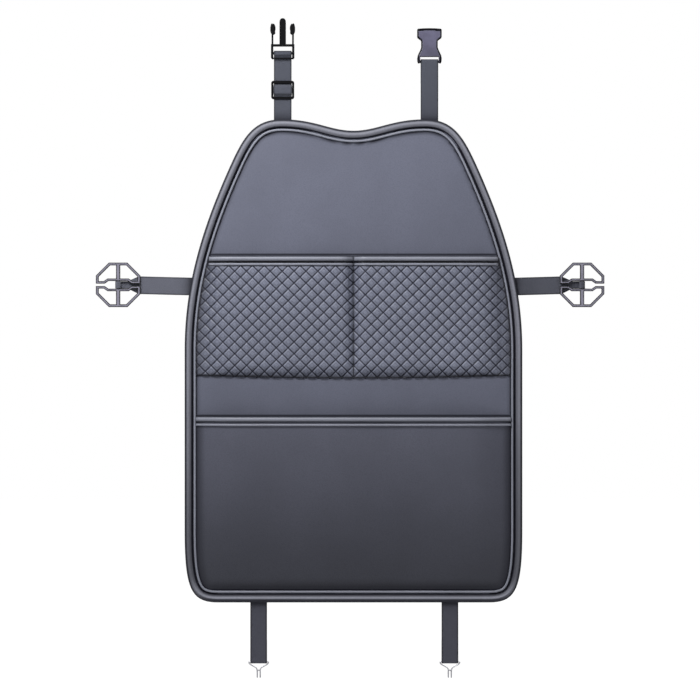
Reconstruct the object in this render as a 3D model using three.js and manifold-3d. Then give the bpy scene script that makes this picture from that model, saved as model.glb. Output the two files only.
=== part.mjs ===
// Car seat back organizer: a padded leather body with a diamond quilted upper pocket, a plain
// lower pocket, six webbing straps, a side release buckle, a strap slider, two anchors and two
// wire hooks.
// Millimetres. X runs across the body, Z up, and the front faces -Y. The origin is on the flat
// back, in the middle of the body, so the depth of a point is its distance in front of the back.

import * as THREE from 'three';
import { mergeVertices } from 'three/addons/utils/BufferGeometryUtils.js';
import Module from 'manifold-3d';

const wasm = await Module();
wasm.setup();

// Shared fits
const GAP = 0.3;                 // clearance between two pieces that touch
const LOOP_GAP = 0.4;            // clearance between a round bar and the webbing round it

// Body outline, half of it, seen from the front
const BODY_HALF_WIDTH = 236.6;
const BODY_BOTTOM_Z = -337.4;
const SIDE_BOTTOM_Z = -237;      // the upright sides start above the bottom corners
const SIDE_TOP_Z = 15;           // and lean in from here up
const CORNER_X = 190;            // the straight bottom edge ends here
const SHOULDER_X = 174.5;
const SHOULDER_Z = 268.7;
const SHOULDER_LEAN = 0.42;      // angle from upright of the edge at the shoulder, radians
const PEAK_X = 100.5;            // highest point of each shoulder
const PEAK_Z = 338;
const DIP_Z = 322;               // the top edge sags to here in the middle

// Layers of the body, as depths in front of the back
const BACK_LIP = 0.9;            // back leaf of the edge binding
const BACK_PANEL_FRONT = 5.4;
const LEATHER = 1.2;             // thickness of the leather panels
const BINDING_WIDTH = 9.8;
const BINDING_FRONT = 11;
const BINDING_HOLD = 4.3;        // how far the panels reach into the binding
const PIPING_INSET = 13.6;       // piping centre, in from the outline
const PIPING_RADIUS = 1.9;
const POCKET_INSET = 16;         // side edges of both pockets, in from the outline

// Hems
const HEM_HEIGHT = 7.7;
const HEM_LIP = 0.8;             // back leaf of a hem
const HEM_HOLD = 5;              // how far the pocket reaches up into its hem
const HEM_FRONT = 4.6;           // front of a hem, measured from the back of its pocket
const HEM_CORD_RADIUS = 1.75;
const HEM_CORD_DROP = 3.8;       // cord centre, below the hem

// Upper pocket
const UPPER_HEM_Z = 140;         // underside of its hem
const UPPER_BOTTOM_Z = -21;
const UPPER_SAG = 3.2;           // the bottom seam hangs this much lower in the middle
const UPPER_SHELL = 1.4;         // thickness along the stitch lines
const UPPER_BULGE_TOP = 12;
const UPPER_BULGE_LOW = 7;
const UPPER_SIDE_REACH = 35;     // the pocket rises from its side seams over this distance
const SEAM_REACH = 16;           // and from the middle seam over this one
const UPPER_FOOT_REACH = 16;     // and from the bottom seam over this one
const UPPER_FOOT_SEAM = 5;       // its inner face starts to rise this far above the bottom seam
const QUILT_TOP_Z = 133;
const DIAMOND_WIDTH = 16.6;
const DIAMOND_HEIGHT = 16.45;
const QUILT_CROSSING_Z = 59.5;   // height of one row of stitch crossings
const PAD_RISE = 2.6;            // a diamond stands this far above its stitch lines
const PAD_SHARE = 0.6;           // size of its raised middle

// Lower pocket
const LOWER_HEM_Z = -84;
const LOWER_SHELL = 1.4;
const LOWER_BULGE = 20;
const LOWER_SIDE_REACH = 60;
const LOWER_FOOT_REACH = 18;
const LOWER_FOOT_SHARE = 0.25;   // share of the bulge that rises at the foot

// Webbing
const WEB = 1.3;                 // webbing thickness
const TOP_STRAP_WIDTH = 24.7;
const SIDE_STRAP_WIDTH = 24.9;
const BOTTOM_STRAP_WIDTH = 22.7;
const STRAP_DEPTH = 4.75;        // webbing centre where it leaves the body
const STRAP_SEWN = 22;           // length of strap sewn into the body
const TAIL_DEPTH = 1.05;         // webbing centre of the layer that comes back behind
const TOP_LEFT_X = -99.2;
const TOP_RIGHT_X = 106.4;
const SIDE_STRAP_Z = 104.4;
const BOTTOM_LEFT_X = -132.9;
const BOTTOM_RIGHT_X = 135.1;
const TAIL_LENGTH = 30;
const WEB_ROOM = 0.8;            // room beside the webbing in a buckle or slider

// Side release buckle
const BUCKLE_BAR_RADIUS = 1.9;
const BUCKLE_BAR_DEPTH = 4;
const PLUG_REACH = 93.3;         // its bar, above the shoulder
const PLUG_BAR_Z = PEAK_Z + PLUG_REACH;
const PLUG_FOOT = 8.4;           // its lower edge, below the bar
const PLUG_BOTTOM_Z = PLUG_BAR_Z - PLUG_FOOT;
const PLUG_HEAD = 12.6;          // the top of its frame, where the prongs start, above the bar
const PLUG_TOP_Z = PLUG_BAR_Z + PLUG_HEAD;
const PLUG_RAIL = 3.3;
const PLUG_WIDTH = TOP_STRAP_WIDTH + 2 * (WEB_ROOM + PLUG_RAIL);
const PLUG_TOP_BAR = 3.2;
const PLUG_LOW_BAR = 2.1;
const PLUG_BACK = 2.2;
const PLUG_FRONT = 6.9;
const PRONG_WIDTH = 9;
const PRONG_REACH = 49;
const PRONG_TIP_Z = PLUG_BAR_Z + PRONG_REACH;
const ARM_X = 14.4;              // centre of a side arm
const ARM_WIDTH = 2.5;
const ARM_HEAD_REACH = 26.2;
const ARM_HEAD_Z = PLUG_BAR_Z + ARM_HEAD_REACH;
const ARM_TIP_REACH = 41.9;
const ARM_TIP_Z = PLUG_BAR_Z + ARM_TIP_REACH;
const ARM_HEAD_WIDTH = 7.4;
const SOCKET_REACH = 81.4;       // its bar, above the shoulder
const SOCKET_BAR_Z = PEAK_Z + SOCKET_REACH;
const SOCKET_MOUTH = 46.7;       // its open end, above the bar
const SOCKET_TOP_Z = SOCKET_BAR_Z + SOCKET_MOUTH;
const SOCKET_FOOT = 2.2;         // its lower edge, below the bar
const SOCKET_BOTTOM_Z = SOCKET_BAR_Z - SOCKET_FOOT;
const SOCKET_SIDE = 4;           // width of the plastic on each side of the strap slot
const SOCKET_WIDTH = TOP_STRAP_WIDTH + 2 * (WEB_ROOM + SOCKET_SIDE);
const SOCKET_WAIST = 23.2;
const SOCKET_SLOT = 6.8;         // the top of its strap slot, above the bar
const SOCKET_SLOT_Z = SOCKET_BAR_Z + SOCKET_SLOT;
const SOCKET_BACK = 0.4;
const SOCKET_FRONT = 9.4;
const SOCKET_WALL = 1.9;         // front and back walls round the cavity
const SOCKET_FLOOR = 11.6;       // the inner end of its cavity, above the bar
const SOCKET_FLOOR_Z = SOCKET_BAR_Z + SOCKET_FLOOR;
const CAVITY_WIDTH = 28.8;

// Strap slider
const SLIDER_REACH = 41.8;       // its middle, above the shoulder
const SLIDER_Z = PEAK_Z + SLIDER_REACH;
const SLIDER_HEIGHT = 26;
const SLIDER_BAR = 3.9;
const SLIDER_RAIL = 3;
const SLIDER_WIDTH = TOP_STRAP_WIDTH + 2 * (WEB_ROOM + SLIDER_RAIL);
const SLIDER_BACK = 2.1;
const SLIDER_FRONT = 5.6;
const SLIDER_MIDDLE_FRONT = 3.9; // front of its middle bar
const SLIDER_OUTER_BACK = 3.6;   // back of its outer bars

// Anchors
const ANCHOR_LEFT_REACH = 93.2;  // centre, out from the widest part of the body
const ANCHOR_RIGHT_REACH = 83.7;
const ANCHOR_LEFT_X = -BODY_HALF_WIDTH - ANCHOR_LEFT_REACH;
const ANCHOR_RIGHT_X = BODY_HALF_WIDTH + ANCHOR_RIGHT_REACH;
const ANCHOR_RAISE = 2.3;        // centre, above the middle of the side strap
const ANCHOR_Z = SIDE_STRAP_Z + ANCHOR_RAISE;
const ANCHOR_APOTHEM = 31.2;
const ANCHOR_HALF_SIDE = 13;
const ANCHOR_FRAME = 4;
const ANCHOR_EDGE = 3.6;         // width of the bars along the slot
const ANCHOR_SPINE = 5.9;        // width of the upright bar
const ANCHOR_THICK = 4;
const ANCHOR_BAR_RADIUS = 2.5;
const SLOT_NARROW = 1.65;        // half height of the slot at its ends
const SLOT_WIDE = 5.35;          // half height in the middle
const SLOT_WIDE_X = 13.5;
const SLOT_NARROW_X = 18.8;
const SIDE_STRAP_BACK = 1.35;    // webbing centre behind the anchor
const LOOP_WIDTH = 10.3;         // the strap is this wide where it goes round the anchor's bar
const TAPER_START = 28.8;        // distance from the bar where the strap starts to narrow
const TAPER_END = 12.8;

// Wire hooks
const WIRE_RADIUS = 0.9;
const HOOK_DROP = 84;            // its bar, below the body
const HOOK_BAR_Z = BODY_BOTTOM_Z - HOOK_DROP;
const HOOK_BAR_DEPTH = 4;
const HOOK_HALF_WIDTH = 14;
const HOOK_NECK = 9.6;           // its neck, below the bar
const HOOK_NECK_Z = HOOK_BAR_Z - HOOK_NECK;
const HOOK_NECK_X = 2.1;
const HOOK_LENGTH = 23.1;        // its lowest point, below the bar
const HOOK_BOTTOM_Z = HOOK_BAR_Z - HOOK_LENGTH;
const HOOK_BEND = 4;             // radius of the hook's bend
const HOOK_TIP_RISE = 6;

// Colours
const LEATHER_LOOK = { color: 0x6b6e7c, roughness: 0.5, metalness: 0 };
const PIPING_LOOK = { color: 0x7d808c, roughness: 0.4, metalness: 0 };
const QUILT_LOOK = { color: 0x666976, roughness: 0.5, metalness: 0 };
const BACKING_LOOK = { color: 0x3a3a40, roughness: 0.9, metalness: 0 };
const WEBBING_LOOK = { color: 0x54565f, roughness: 0.85, metalness: 0 };
const BLACK_LOOK = { color: 0x1c1c20, roughness: 0.3, metalness: 0 };
const GREY_LOOK = { color: 0x7e7c8c, roughness: 0.4, metalness: 0 };
const WIRE_LOOK = { color: 0xb4b4b8, roughness: 0.3, metalness: 1 };

// Helpers for closed bodies

function at(x, depth, z) {
  return new THREE.Vector3(x, -depth, z);
}

function volume(points, faces) {
  let total = 0;
  for (const [a, b, c] of faces) {
    total += points[a].dot(new THREE.Vector3().crossVectors(points[b], points[c]));
  }
  return total / 6;
}

function closedBody(points, faces) {
  const outward = volume(points, faces) > 0;
  const geometry = new THREE.BufferGeometry();
  geometry.setAttribute('position', new THREE.BufferAttribute(
    new Float32Array(points.flatMap((p) => [p.x, p.y, p.z])), 3));
  geometry.setIndex(faces.flatMap(([a, b, c]) => (outward ? [a, b, c] : [a, c, b])));
  return geometry;
}

// Rows of points, each row one section of the body. A closed loft joins its last section to the
// first; an open one gets end faces that pair the first half of a section with its second half.
function loft(sections, closed = false) {
  const sides = sections[0].length;
  const faces = [];
  const quad = (a, b, c, d) => faces.push([a, b, c], [a, c, d]);
  const steps = closed ? sections.length : sections.length - 1;
  for (let i = 0; i < steps; i += 1) {
    const next = (i + 1) % sections.length;
    for (let k = 0; k < sides; k += 1) {
      const m = (k + 1) % sides;
      quad(i * sides + k, i * sides + m, next * sides + m, next * sides + k);
    }
  }
  if (!closed) {
    const last = (sections.length - 1) * sides;
    for (let k = 0; k < sides / 2 - 1; k += 1) {
      quad(k + 1, k, sides - 1 - k, sides - 2 - k);
      quad(last + k, last + k + 1, last + sides - 2 - k, last + sides - 1 - k);
    }
  }
  return closedBody(sections.flat(), faces);
}

// A flat shape drawn in X and Z, standing between two depths.
function plate(shape, back, front, curveSegments = 6) {
  const geometry = new THREE.ExtrudeGeometry(shape, {
    depth: front - back,
    bevelEnabled: false,
    curveSegments,
  });
  geometry.rotateX(Math.PI / 2);
  geometry.translate(0, -back, 0);
  return geometry;
}

function block(x0, x1, back, front, z0, z1) {
  const geometry = new THREE.BoxGeometry(x1 - x0, front - back, z1 - z0);
  geometry.translate((x0 + x1) / 2, -(back + front) / 2, (z0 + z1) / 2);
  return geometry;
}

// A round bar along X or Z.
function bar(radius, length, x, depth, z, axis = 'x', sides = 16) {
  const geometry = new THREE.CylinderGeometry(radius, radius, length, sides);
  if (axis === 'x') {
    geometry.rotateZ(Math.PI / 2);
  } else {
    geometry.rotateX(Math.PI / 2);
  }
  geometry.translate(x, -depth, z);
  return geometry;
}

function toSolid(geometry) {
  const bare = geometry.clone();
  bare.deleteAttribute('normal');
  bare.deleteAttribute('uv');
  const merged = mergeVertices(bare, 1e-4);
  return new wasm.Manifold(new wasm.Mesh({
    numProp: 3,
    vertProperties: new Float32Array(merged.attributes.position.array),
    triVerts: new Uint32Array(merged.index.array),
  }));
}

function fromSolid(solid) {
  const mesh = solid.getMesh();
  const geometry = new THREE.BufferGeometry();
  geometry.setAttribute('position', new THREE.BufferAttribute(new Float32Array(mesh.vertProperties), 3));
  geometry.setIndex(Array.from(mesh.triVerts));
  return geometry;
}

function cutAndJoin(base, cuts, joins = []) {
  let solid = toSolid(base);
  for (const cut of cuts) {
    solid = solid.subtract(toSolid(cut));
  }
  for (const join of joins) {
    solid = solid.add(toSolid(join));
  }
  return fromSolid(solid);
}

function mesh(name, geometry, look) {
  const result = new THREE.Mesh(geometry, new THREE.MeshStandardMaterial(look));
  result.name = name;
  return result;
}

// Body outline

function bezier(x0, z0, x1, z1, x2, z2, x3, z3) {
  return new THREE.CubicBezierCurve(new THREE.Vector2(x0, z0), new THREE.Vector2(x1, z1),
    new THREE.Vector2(x2, z2), new THREE.Vector2(x3, z3));
}

function halfOutlineCurves() {
  const lean = new THREE.Vector2(-Math.sin(SHOULDER_LEAN), Math.cos(SHOULDER_LEAN));
  const rise = 0.362 * (SHOULDER_Z - SIDE_TOP_Z);
  const turn = Math.hypot(SHOULDER_X - PEAK_X, PEAK_Z - SHOULDER_Z);
  return [
    [new THREE.LineCurve(new THREE.Vector2(0, BODY_BOTTOM_Z),
      new THREE.Vector2(CORNER_X, BODY_BOTTOM_Z)), 2],
    [bezier(CORNER_X, BODY_BOTTOM_Z, CORNER_X + 0.8 * (BODY_HALF_WIDTH - CORNER_X), BODY_BOTTOM_Z,
      BODY_HALF_WIDTH, SIDE_BOTTOM_Z + 0.82 * (BODY_BOTTOM_Z - SIDE_BOTTOM_Z),
      BODY_HALF_WIDTH, SIDE_BOTTOM_Z), 9],
    [new THREE.LineCurve(new THREE.Vector2(BODY_HALF_WIDTH, SIDE_BOTTOM_Z),
      new THREE.Vector2(BODY_HALF_WIDTH, SIDE_TOP_Z)), 2],
    [bezier(BODY_HALF_WIDTH, SIDE_TOP_Z, BODY_HALF_WIDTH, SIDE_TOP_Z + rise,
      SHOULDER_X - rise * lean.x, SHOULDER_Z - rise * lean.y, SHOULDER_X, SHOULDER_Z), 7],
    [bezier(SHOULDER_X, SHOULDER_Z, SHOULDER_X + 0.467 * turn * lean.x,
      SHOULDER_Z + 0.467 * turn * lean.y, PEAK_X + 0.4 * turn, PEAK_Z, PEAK_X, PEAK_Z), 8],
    [bezier(PEAK_X, PEAK_Z, PEAK_X * 0.534, PEAK_Z, PEAK_X * 0.325, DIP_Z, 0, DIP_Z), 8],
  ];
}

// Stations round the body, each with the outline point and the direction that points outward.
function outlineStations() {
  const half = [];
  for (const [curve, steps] of halfOutlineCurves()) {
    for (let i = half.length ? 1 : 0; i <= steps; i += 1) {
      const point = curve.getPoint(i / steps);
      const along = curve.getTangent(i / steps);
      half.push({ x: point.x, z: point.y, nx: along.y, nz: -along.x });
    }
  }
  const other = half.slice(1, -1).reverse().map((s) => ({ x: -s.x, z: s.z, nx: -s.nx, nz: s.nz }));
  return [...half, ...other];
}

const STATIONS = outlineStations();

function insetPoints(inset) {
  return STATIONS.map((s) => new THREE.Vector2(s.x - s.nx * inset, s.z - s.nz * inset));
}

function halfWidthAt(z, inset) {
  const points = insetPoints(inset).filter((p) => p.x >= 0);
  for (let i = 1; i < points.length; i += 1) {
    const [low, high] = [points[i - 1], points[i]];
    if (low.y <= z && high.y > z && high.y - low.y > 1e-6) {
      return low.x + (high.x - low.x) * (z - low.y) / (high.y - low.y);
    }
  }
  return CORNER_X;
}

function panel(inset, back, front) {
  return plate(new THREE.Shape(insetPoints(inset)), back, front);
}

function ringAround(section) {
  return loft(STATIONS.map((s) => section.map(([inset, depth]) =>
    at(s.x - s.nx * inset, depth, s.z - s.nz * inset))), true);
}

function circleSection(radius, sides) {
  return Array.from({ length: sides }, (_, k) => {
    const angle = (k + 0.5) * 2 * Math.PI / sides;
    return [radius * Math.cos(angle), radius * Math.sin(angle)];
  });
}

// Body

const STRAP_SLOT_BACK = STRAP_DEPTH - WEB / 2 - GAP;
const FACE_BACK = BACK_PANEL_FRONT + GAP;
const FACE_FRONT = FACE_BACK + LEATHER;
const PANEL_INSET = BINDING_WIDTH - BINDING_HOLD + GAP;

// The six places where a strap is sewn in, each a block from the inner end of the strap outward.
function strapRecesses(front) {
  const outer = 40;
  const side = SIDE_STRAP_WIDTH / 2 + GAP;
  const box = (x0, x1, z0, z1) => block(x0, x1, STRAP_SLOT_BACK, front, z0, z1);
  const upright = (x, width, z0, z1) => box(x - width / 2 - GAP, x + width / 2 + GAP, z0, z1);
  const sideX = halfWidthAt(SIDE_STRAP_Z, 0) - STRAP_SEWN - GAP;
  return [
    upright(TOP_LEFT_X, TOP_STRAP_WIDTH, PEAK_Z - STRAP_SEWN - GAP, PEAK_Z + outer),
    upright(TOP_RIGHT_X, TOP_STRAP_WIDTH, PEAK_Z - STRAP_SEWN - GAP, PEAK_Z + outer),
    upright(BOTTOM_LEFT_X, BOTTOM_STRAP_WIDTH, BODY_BOTTOM_Z - outer, BODY_BOTTOM_Z + STRAP_SEWN + GAP),
    upright(BOTTOM_RIGHT_X, BOTTOM_STRAP_WIDTH, BODY_BOTTOM_Z - outer, BODY_BOTTOM_Z + STRAP_SEWN + GAP),
    box(-sideX - STRAP_SEWN - outer, -sideX, SIDE_STRAP_Z - side, SIDE_STRAP_Z + side),
    box(sideX, sideX + STRAP_SEWN + outer, SIDE_STRAP_Z - side, SIDE_STRAP_Z + side),
  ];
}

function backPanel() {
  const thick = panel(PANEL_INSET, BACK_LIP + GAP, BACK_PANEL_FRONT);
  const step = panel(BINDING_WIDTH + GAP, 0, BACK_LIP + 2 * GAP);
  return cutAndJoin(cutAndJoin(thick, [], [step]), strapRecesses(BACK_PANEL_FRONT + 1));
}

function edgeBinding() {
  const w = BINDING_WIDTH;
  const slot = w - BINDING_HOLD;
  const section = [
    [w, 0], [2, 0], [0, 2.4], [0, 7.6], [1.1, 9.7], [3.2, 10.9], [5.6, BINDING_FRONT],
    [8, 10.3], [w, 8.6], [w, FACE_FRONT + GAP], [slot, FACE_FRONT + GAP], [slot, BACK_LIP], [w, BACK_LIP],
  ];
  return cutAndJoin(ringAround(section), strapRecesses(STRAP_DEPTH + WEB / 2 + GAP));
}

function edgePiping() {
  const centre = FACE_FRONT + GAP + PIPING_RADIUS;
  return ringAround(circleSection(PIPING_RADIUS, 6).map(([a, b]) => [PIPING_INSET + a, centre + b]));
}

// Pockets

function ramp(distance, reach) {
  return Math.sin(Math.min(Math.max(distance / reach, 0), 1) * Math.PI / 2);
}

function between(stations, values, x) {
  let i = 1;
  while (i < stations.length - 1 && stations[i] < x) {
    i += 1;
  }
  const share = (x - stations[i - 1]) / (stations[i] - stations[i - 1]);
  return values[i - 1] + (values[i] - values[i - 1]) * Math.min(Math.max(share, 0), 1);
}

const POCKET_BACK = FACE_FRONT + GAP;
const HEM_ROOM = HEM_LIP + GAP;
const HALF_PITCH = DIAMOND_WIDTH / 2;
const HALF_ROW = DIAMOND_HEIGHT / 2;
const UPPER_HALF_WIDTH = halfWidthAt(UPPER_HEM_Z + HEM_HEIGHT, POCKET_INSET);
const UPPER_TOP_Z = UPPER_HEM_Z + HEM_HOLD;

// The upper pocket's bulge changes along X only at columns of the stitching. The last column is
// just outside the pocket, which ends between two columns.
function upperNodes() {
  const last = Math.floor(UPPER_HALF_WIDTH / HALF_PITCH) + 1;
  const rise = Math.ceil(UPPER_SIDE_REACH / HALF_PITCH);
  const seam = Math.ceil(SEAM_REACH / HALF_PITCH);
  const half = [];
  for (let i = 1; i <= last; i += 1) {
    if (i <= seam || i >= last - rise || i % 6 === 0) {
      half.push(i * HALF_PITCH);
    }
  }
  return [...half.map((x) => -x).reverse(), 0, ...half];
}

const UPPER_NODES = upperNodes();
const NODE_SHARES = UPPER_NODES.map((x) =>
  ramp(UPPER_NODES.at(-1) - Math.abs(x), UPPER_SIDE_REACH) * ramp(Math.abs(x), SEAM_REACH));
const UPPER_COLUMNS = [-UPPER_HALF_WIDTH, ...UPPER_NODES.slice(1, -1), UPPER_HALF_WIDTH];
const UPPER_SHARES = UPPER_COLUMNS.map((x) => between(UPPER_NODES, NODE_SHARES, x));

function upperFoot(x) {
  return UPPER_BOTTOM_Z - UPPER_SAG * (1 - (x / UPPER_HALF_WIDTH) ** 2);
}

function upperBack(x, z) {
  const rise = Math.max(z - UPPER_BOTTOM_Z, 0);
  const foot = ramp(rise, UPPER_FOOT_REACH);
  const height = Math.min(rise / (QUILT_TOP_Z - UPPER_BOTTOM_Z), 1);
  const bulge = UPPER_BULGE_LOW + (UPPER_BULGE_TOP - UPPER_BULGE_LOW) * height;
  return POCKET_BACK + foot * (HEM_ROOM + bulge * between(UPPER_NODES, NODE_SHARES, x));
}

// The stitched front: one four sided pad for each diamond, sunk along its stitch lines.
function quiltedFront() {
  const points = [];
  const found = new Map();
  const faces = [];
  const point = (x, z, rise) => {
    const key = `${x.toFixed(3)},${z.toFixed(3)}`;
    if (!found.has(key)) {
      found.set(key, points.length);
      points.push(at(x, upperBack(x, z) + UPPER_SHELL + rise, z));
    }
    return found.get(key);
  };
  const columns = Math.ceil(BODY_HALF_WIDTH / HALF_PITCH) + 1;
  const first = Math.floor((UPPER_BOTTOM_Z - 2 * DIAMOND_HEIGHT - QUILT_CROSSING_Z) / HALF_ROW);
  const last = Math.ceil((UPPER_TOP_Z + DIAMOND_HEIGHT - QUILT_CROSSING_Z) / HALF_ROW);
  for (let i = -columns; i <= columns; i += 1) {
    for (let j = first; j <= last; j += 1) {
      if ((i + j) % 2 === 0) {
        continue;
      }
      const [x, z] = [i * HALF_PITCH, QUILT_CROSSING_Z + j * HALF_ROW];
      const corners = [[1, 0], [0, 1], [-1, 0], [0, -1]];
      const rim = corners.map(([u, v]) => point(x + u * HALF_PITCH, z + v * HALF_ROW, 0));
      if (z > QUILT_TOP_Z) {
        faces.push([rim[0], rim[1], rim[3]], [rim[1], rim[2], rim[3]]);
        continue;
      }
      const edge = Math.min(1, 0.45 + (UPPER_HALF_WIDTH - Math.abs(x)) / UPPER_SIDE_REACH);
      const top = corners.map(([u, v]) => point(x + u * PAD_SHARE * HALF_PITCH,
        z + v * PAD_SHARE * HALF_ROW, PAD_RISE * Math.max(edge, 0.45)));
      for (let k = 0; k < 4; k += 1) {
        const m = (k + 1) % 4;
        faces.push([rim[k], rim[m], top[m]], [rim[k], top[m], top[k]]);
      }
      faces.push([top[0], top[1], top[3]], [top[1], top[2], top[3]]);
    }
  }
  return { points, faces };
}

// Closes a front surface with a copy of it at one depth and walls between the two.
function backedBy(depth, { points, faces }) {
  const count = points.length;
  const all = [...points, ...points.map((p) => new THREE.Vector3(p.x, -depth, p.z))];
  const edges = new Set(faces.flatMap(([a, b, c]) => [`${a},${b}`, `${b},${c}`, `${c},${a}`]));
  const closed = [...faces, ...faces.map(([a, b, c]) => [a + count, c + count, b + count])];
  for (const edge of edges) {
    const [a, b] = edge.split(',').map(Number);
    if (!edges.has(`${b},${a}`)) {
      closed.push([b, a, a + count], [b, a + count, b + count]);
    }
  }
  return closedBody(all, closed);
}

// The room that a pocket wall fills: rows of points from its foot up, each with a front and back.
function wall(rows, columns, place, back, front) {
  return loft(rows.map((row) => {
    const line = columns.map((column) => place(column, row));
    return [...line.map(([x, z]) => at(x, front(x, z, row), z)),
      ...line.map(([x, z]) => at(x, back(x, z, row), z)).reverse()];
  }));
}

function upperPocket() {
  const rows = [0, 0.012, 0.03, 0.05, 0.075, 0.1, 0.35, 0.65, 0.93, 1];
  const last = UPPER_NODES.at(-1);
  const columns = [-last - 1, ...UPPER_NODES, last + 1];
  const place = (column, row) => {
    const z = upperFoot(column) + (UPPER_TOP_Z - upperFoot(column)) * row;
    const reach = halfWidthAt(z, POCKET_INSET);
    const limit = Math.abs(column) > last ? reach : Math.min(Math.abs(column), reach - 0.8);
    return [Math.sign(column) * limit, z];
  };
  const inside = (x, z) => upperBack(x, z - UPPER_FOOT_SEAM);
  const room = wall(rows, columns, place, inside, () => 60);
  return fromSolid(toSolid(room).intersect(toSolid(backedBy(0, quiltedFront()))));
}

const LOWER_HALF_WIDTH = BODY_HALF_WIDTH - POCKET_INSET;
const LOWER_FOOT_Z = BODY_BOTTOM_Z + POCKET_INSET;
const LOWER_TOP_Z = LOWER_HEM_Z + HEM_HOLD;

function lowerColumns() {
  const sides = [1, 0.92, 0.82, 0.68, 0.5, 0.25, 0].map((share) => share * LOWER_SIDE_REACH);
  const half = [LOWER_HALF_WIDTH / 3, ...sides.map((d) => LOWER_HALF_WIDTH - d)];
  return [...half.map((x) => -x).reverse(), 0, ...half];
}

const LOWER_COLUMNS = lowerColumns();
const LOWER_SHARES = LOWER_COLUMNS.map((x) => ramp(LOWER_HALF_WIDTH - Math.abs(x), LOWER_SIDE_REACH));

function lowerBack(x, z) {
  const rise = Math.max(z - LOWER_FOOT_Z, 0);
  const foot = ramp(rise, LOWER_FOOT_REACH);
  const slope = ramp(rise, LOWER_HEM_Z - LOWER_FOOT_Z);
  const swell = LOWER_FOOT_SHARE * foot + (1 - LOWER_FOOT_SHARE) * slope;
  const reach = halfWidthAt(Math.max(z, LOWER_FOOT_Z + 0.5), POCKET_INSET);
  const share = between(LOWER_COLUMNS, LOWER_SHARES, x * LOWER_HALF_WIDTH / reach);
  return POCKET_BACK + foot * HEM_ROOM + LOWER_BULGE * swell * share;
}

function lowerPocket() {
  const rows = [0, 0.02, 0.045, 0.075, 0.11, 0.16, 0.24, 0.36, 0.52, 0.7, 0.96, 1];
  const place = (column, row) => {
    const z = LOWER_FOOT_Z + (LOWER_TOP_Z - LOWER_FOOT_Z) * row;
    return [column * halfWidthAt(Math.max(z, LOWER_FOOT_Z + 0.5), POCKET_INSET) / LOWER_HALF_WIDTH, z];
  };
  return wall(rows, LOWER_COLUMNS, place, lowerBack, (x, z) => lowerBack(x, z) + LOWER_SHELL);
}

// A binding folded over the top edge of a pocket, and the thin cord sewn below it.
function hem(columns, shares, shell, place) {
  const inner = shell + GAP;
  const outer = [[-HEM_ROOM, 0], [-HEM_ROOM, 0.83 * HEM_HEIGHT], [0.26 * HEM_FRONT, HEM_HEIGHT],
    [0.83 * HEM_FRONT, 0.8 * HEM_HEIGHT], [HEM_FRONT, 0.44 * HEM_HEIGHT], [inner + GAP + 1.4, 0]];
  const slot = [[inner, 0], [inner, 0.44 * HEM_HEIGHT], [inner, HEM_HOLD + GAP],
    [inner / 2, HEM_HOLD + GAP], [-GAP, HEM_HOLD + GAP], [-GAP, 0]];
  const section = [...outer, ...slot];
  return loft(columns.map((column, i) => section.map(([d, h]) => place(column, shares[i], d, h))));
}

function hemCord(columns, shares, shell, place) {
  const centre = shell + GAP + HEM_CORD_RADIUS;
  return loft(columns.map((column, i) => circleSection(HEM_CORD_RADIUS, 6).map(([a, b]) =>
    place(column, shares[i], centre + b, a - HEM_CORD_DROP))));
}

const placeUpper = (column, share, d, h) =>
  at(column, POCKET_BACK + HEM_ROOM + UPPER_BULGE_TOP * share + d, UPPER_HEM_Z + h);
const placeLower = (column, share, d, h) =>
  at(column, POCKET_BACK + HEM_ROOM + LOWER_BULGE * share + d, LOWER_HEM_Z + h);

// Straps

// Webbing along a path of points, with one width at each point.
function webbing(points, across, widths) {
  return loft(points.map((p, i) => {
    const along = new THREE.Vector3().subVectors(
      points[Math.min(i + 1, points.length - 1)], points[Math.max(i - 1, 0)]).normalize();
    const out = new THREE.Vector3().crossVectors(along, across);
    const corner = (u, v) => p.clone().addScaledVector(across, u * widths[i] / 2)
      .addScaledVector(out, v * WEB / 2);
    return [corner(-1, -1), corner(1, -1), corner(1, 1), corner(-1, 1)];
  }));
}

// An upright strap: its path is drawn with the depth first and the height second.
function uprightStrap(path, x, width) {
  const points = path.getPoints(8).map((p) => at(x, p.x, p.y));
  return webbing(points, new THREE.Vector3(1, 0, 0), points.map(() => width));
}

const BUCKLE_LOOP = BUCKLE_BAR_RADIUS + LOOP_GAP + WEB / 2;
const HOOK_LOOP = WIRE_RADIUS + LOOP_GAP + WEB / 2;
const ANCHOR_LOOP = ANCHOR_BAR_RADIUS + LOOP_GAP + WEB / 2;

function shift(path, from, to, depth) {
  const current = path.currentPoint.x;
  path.lineTo(current, from);
  path.bezierCurveTo(current, from + (to - from) / 2, depth, from + (to - from) / 2, depth, to);
}

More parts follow.
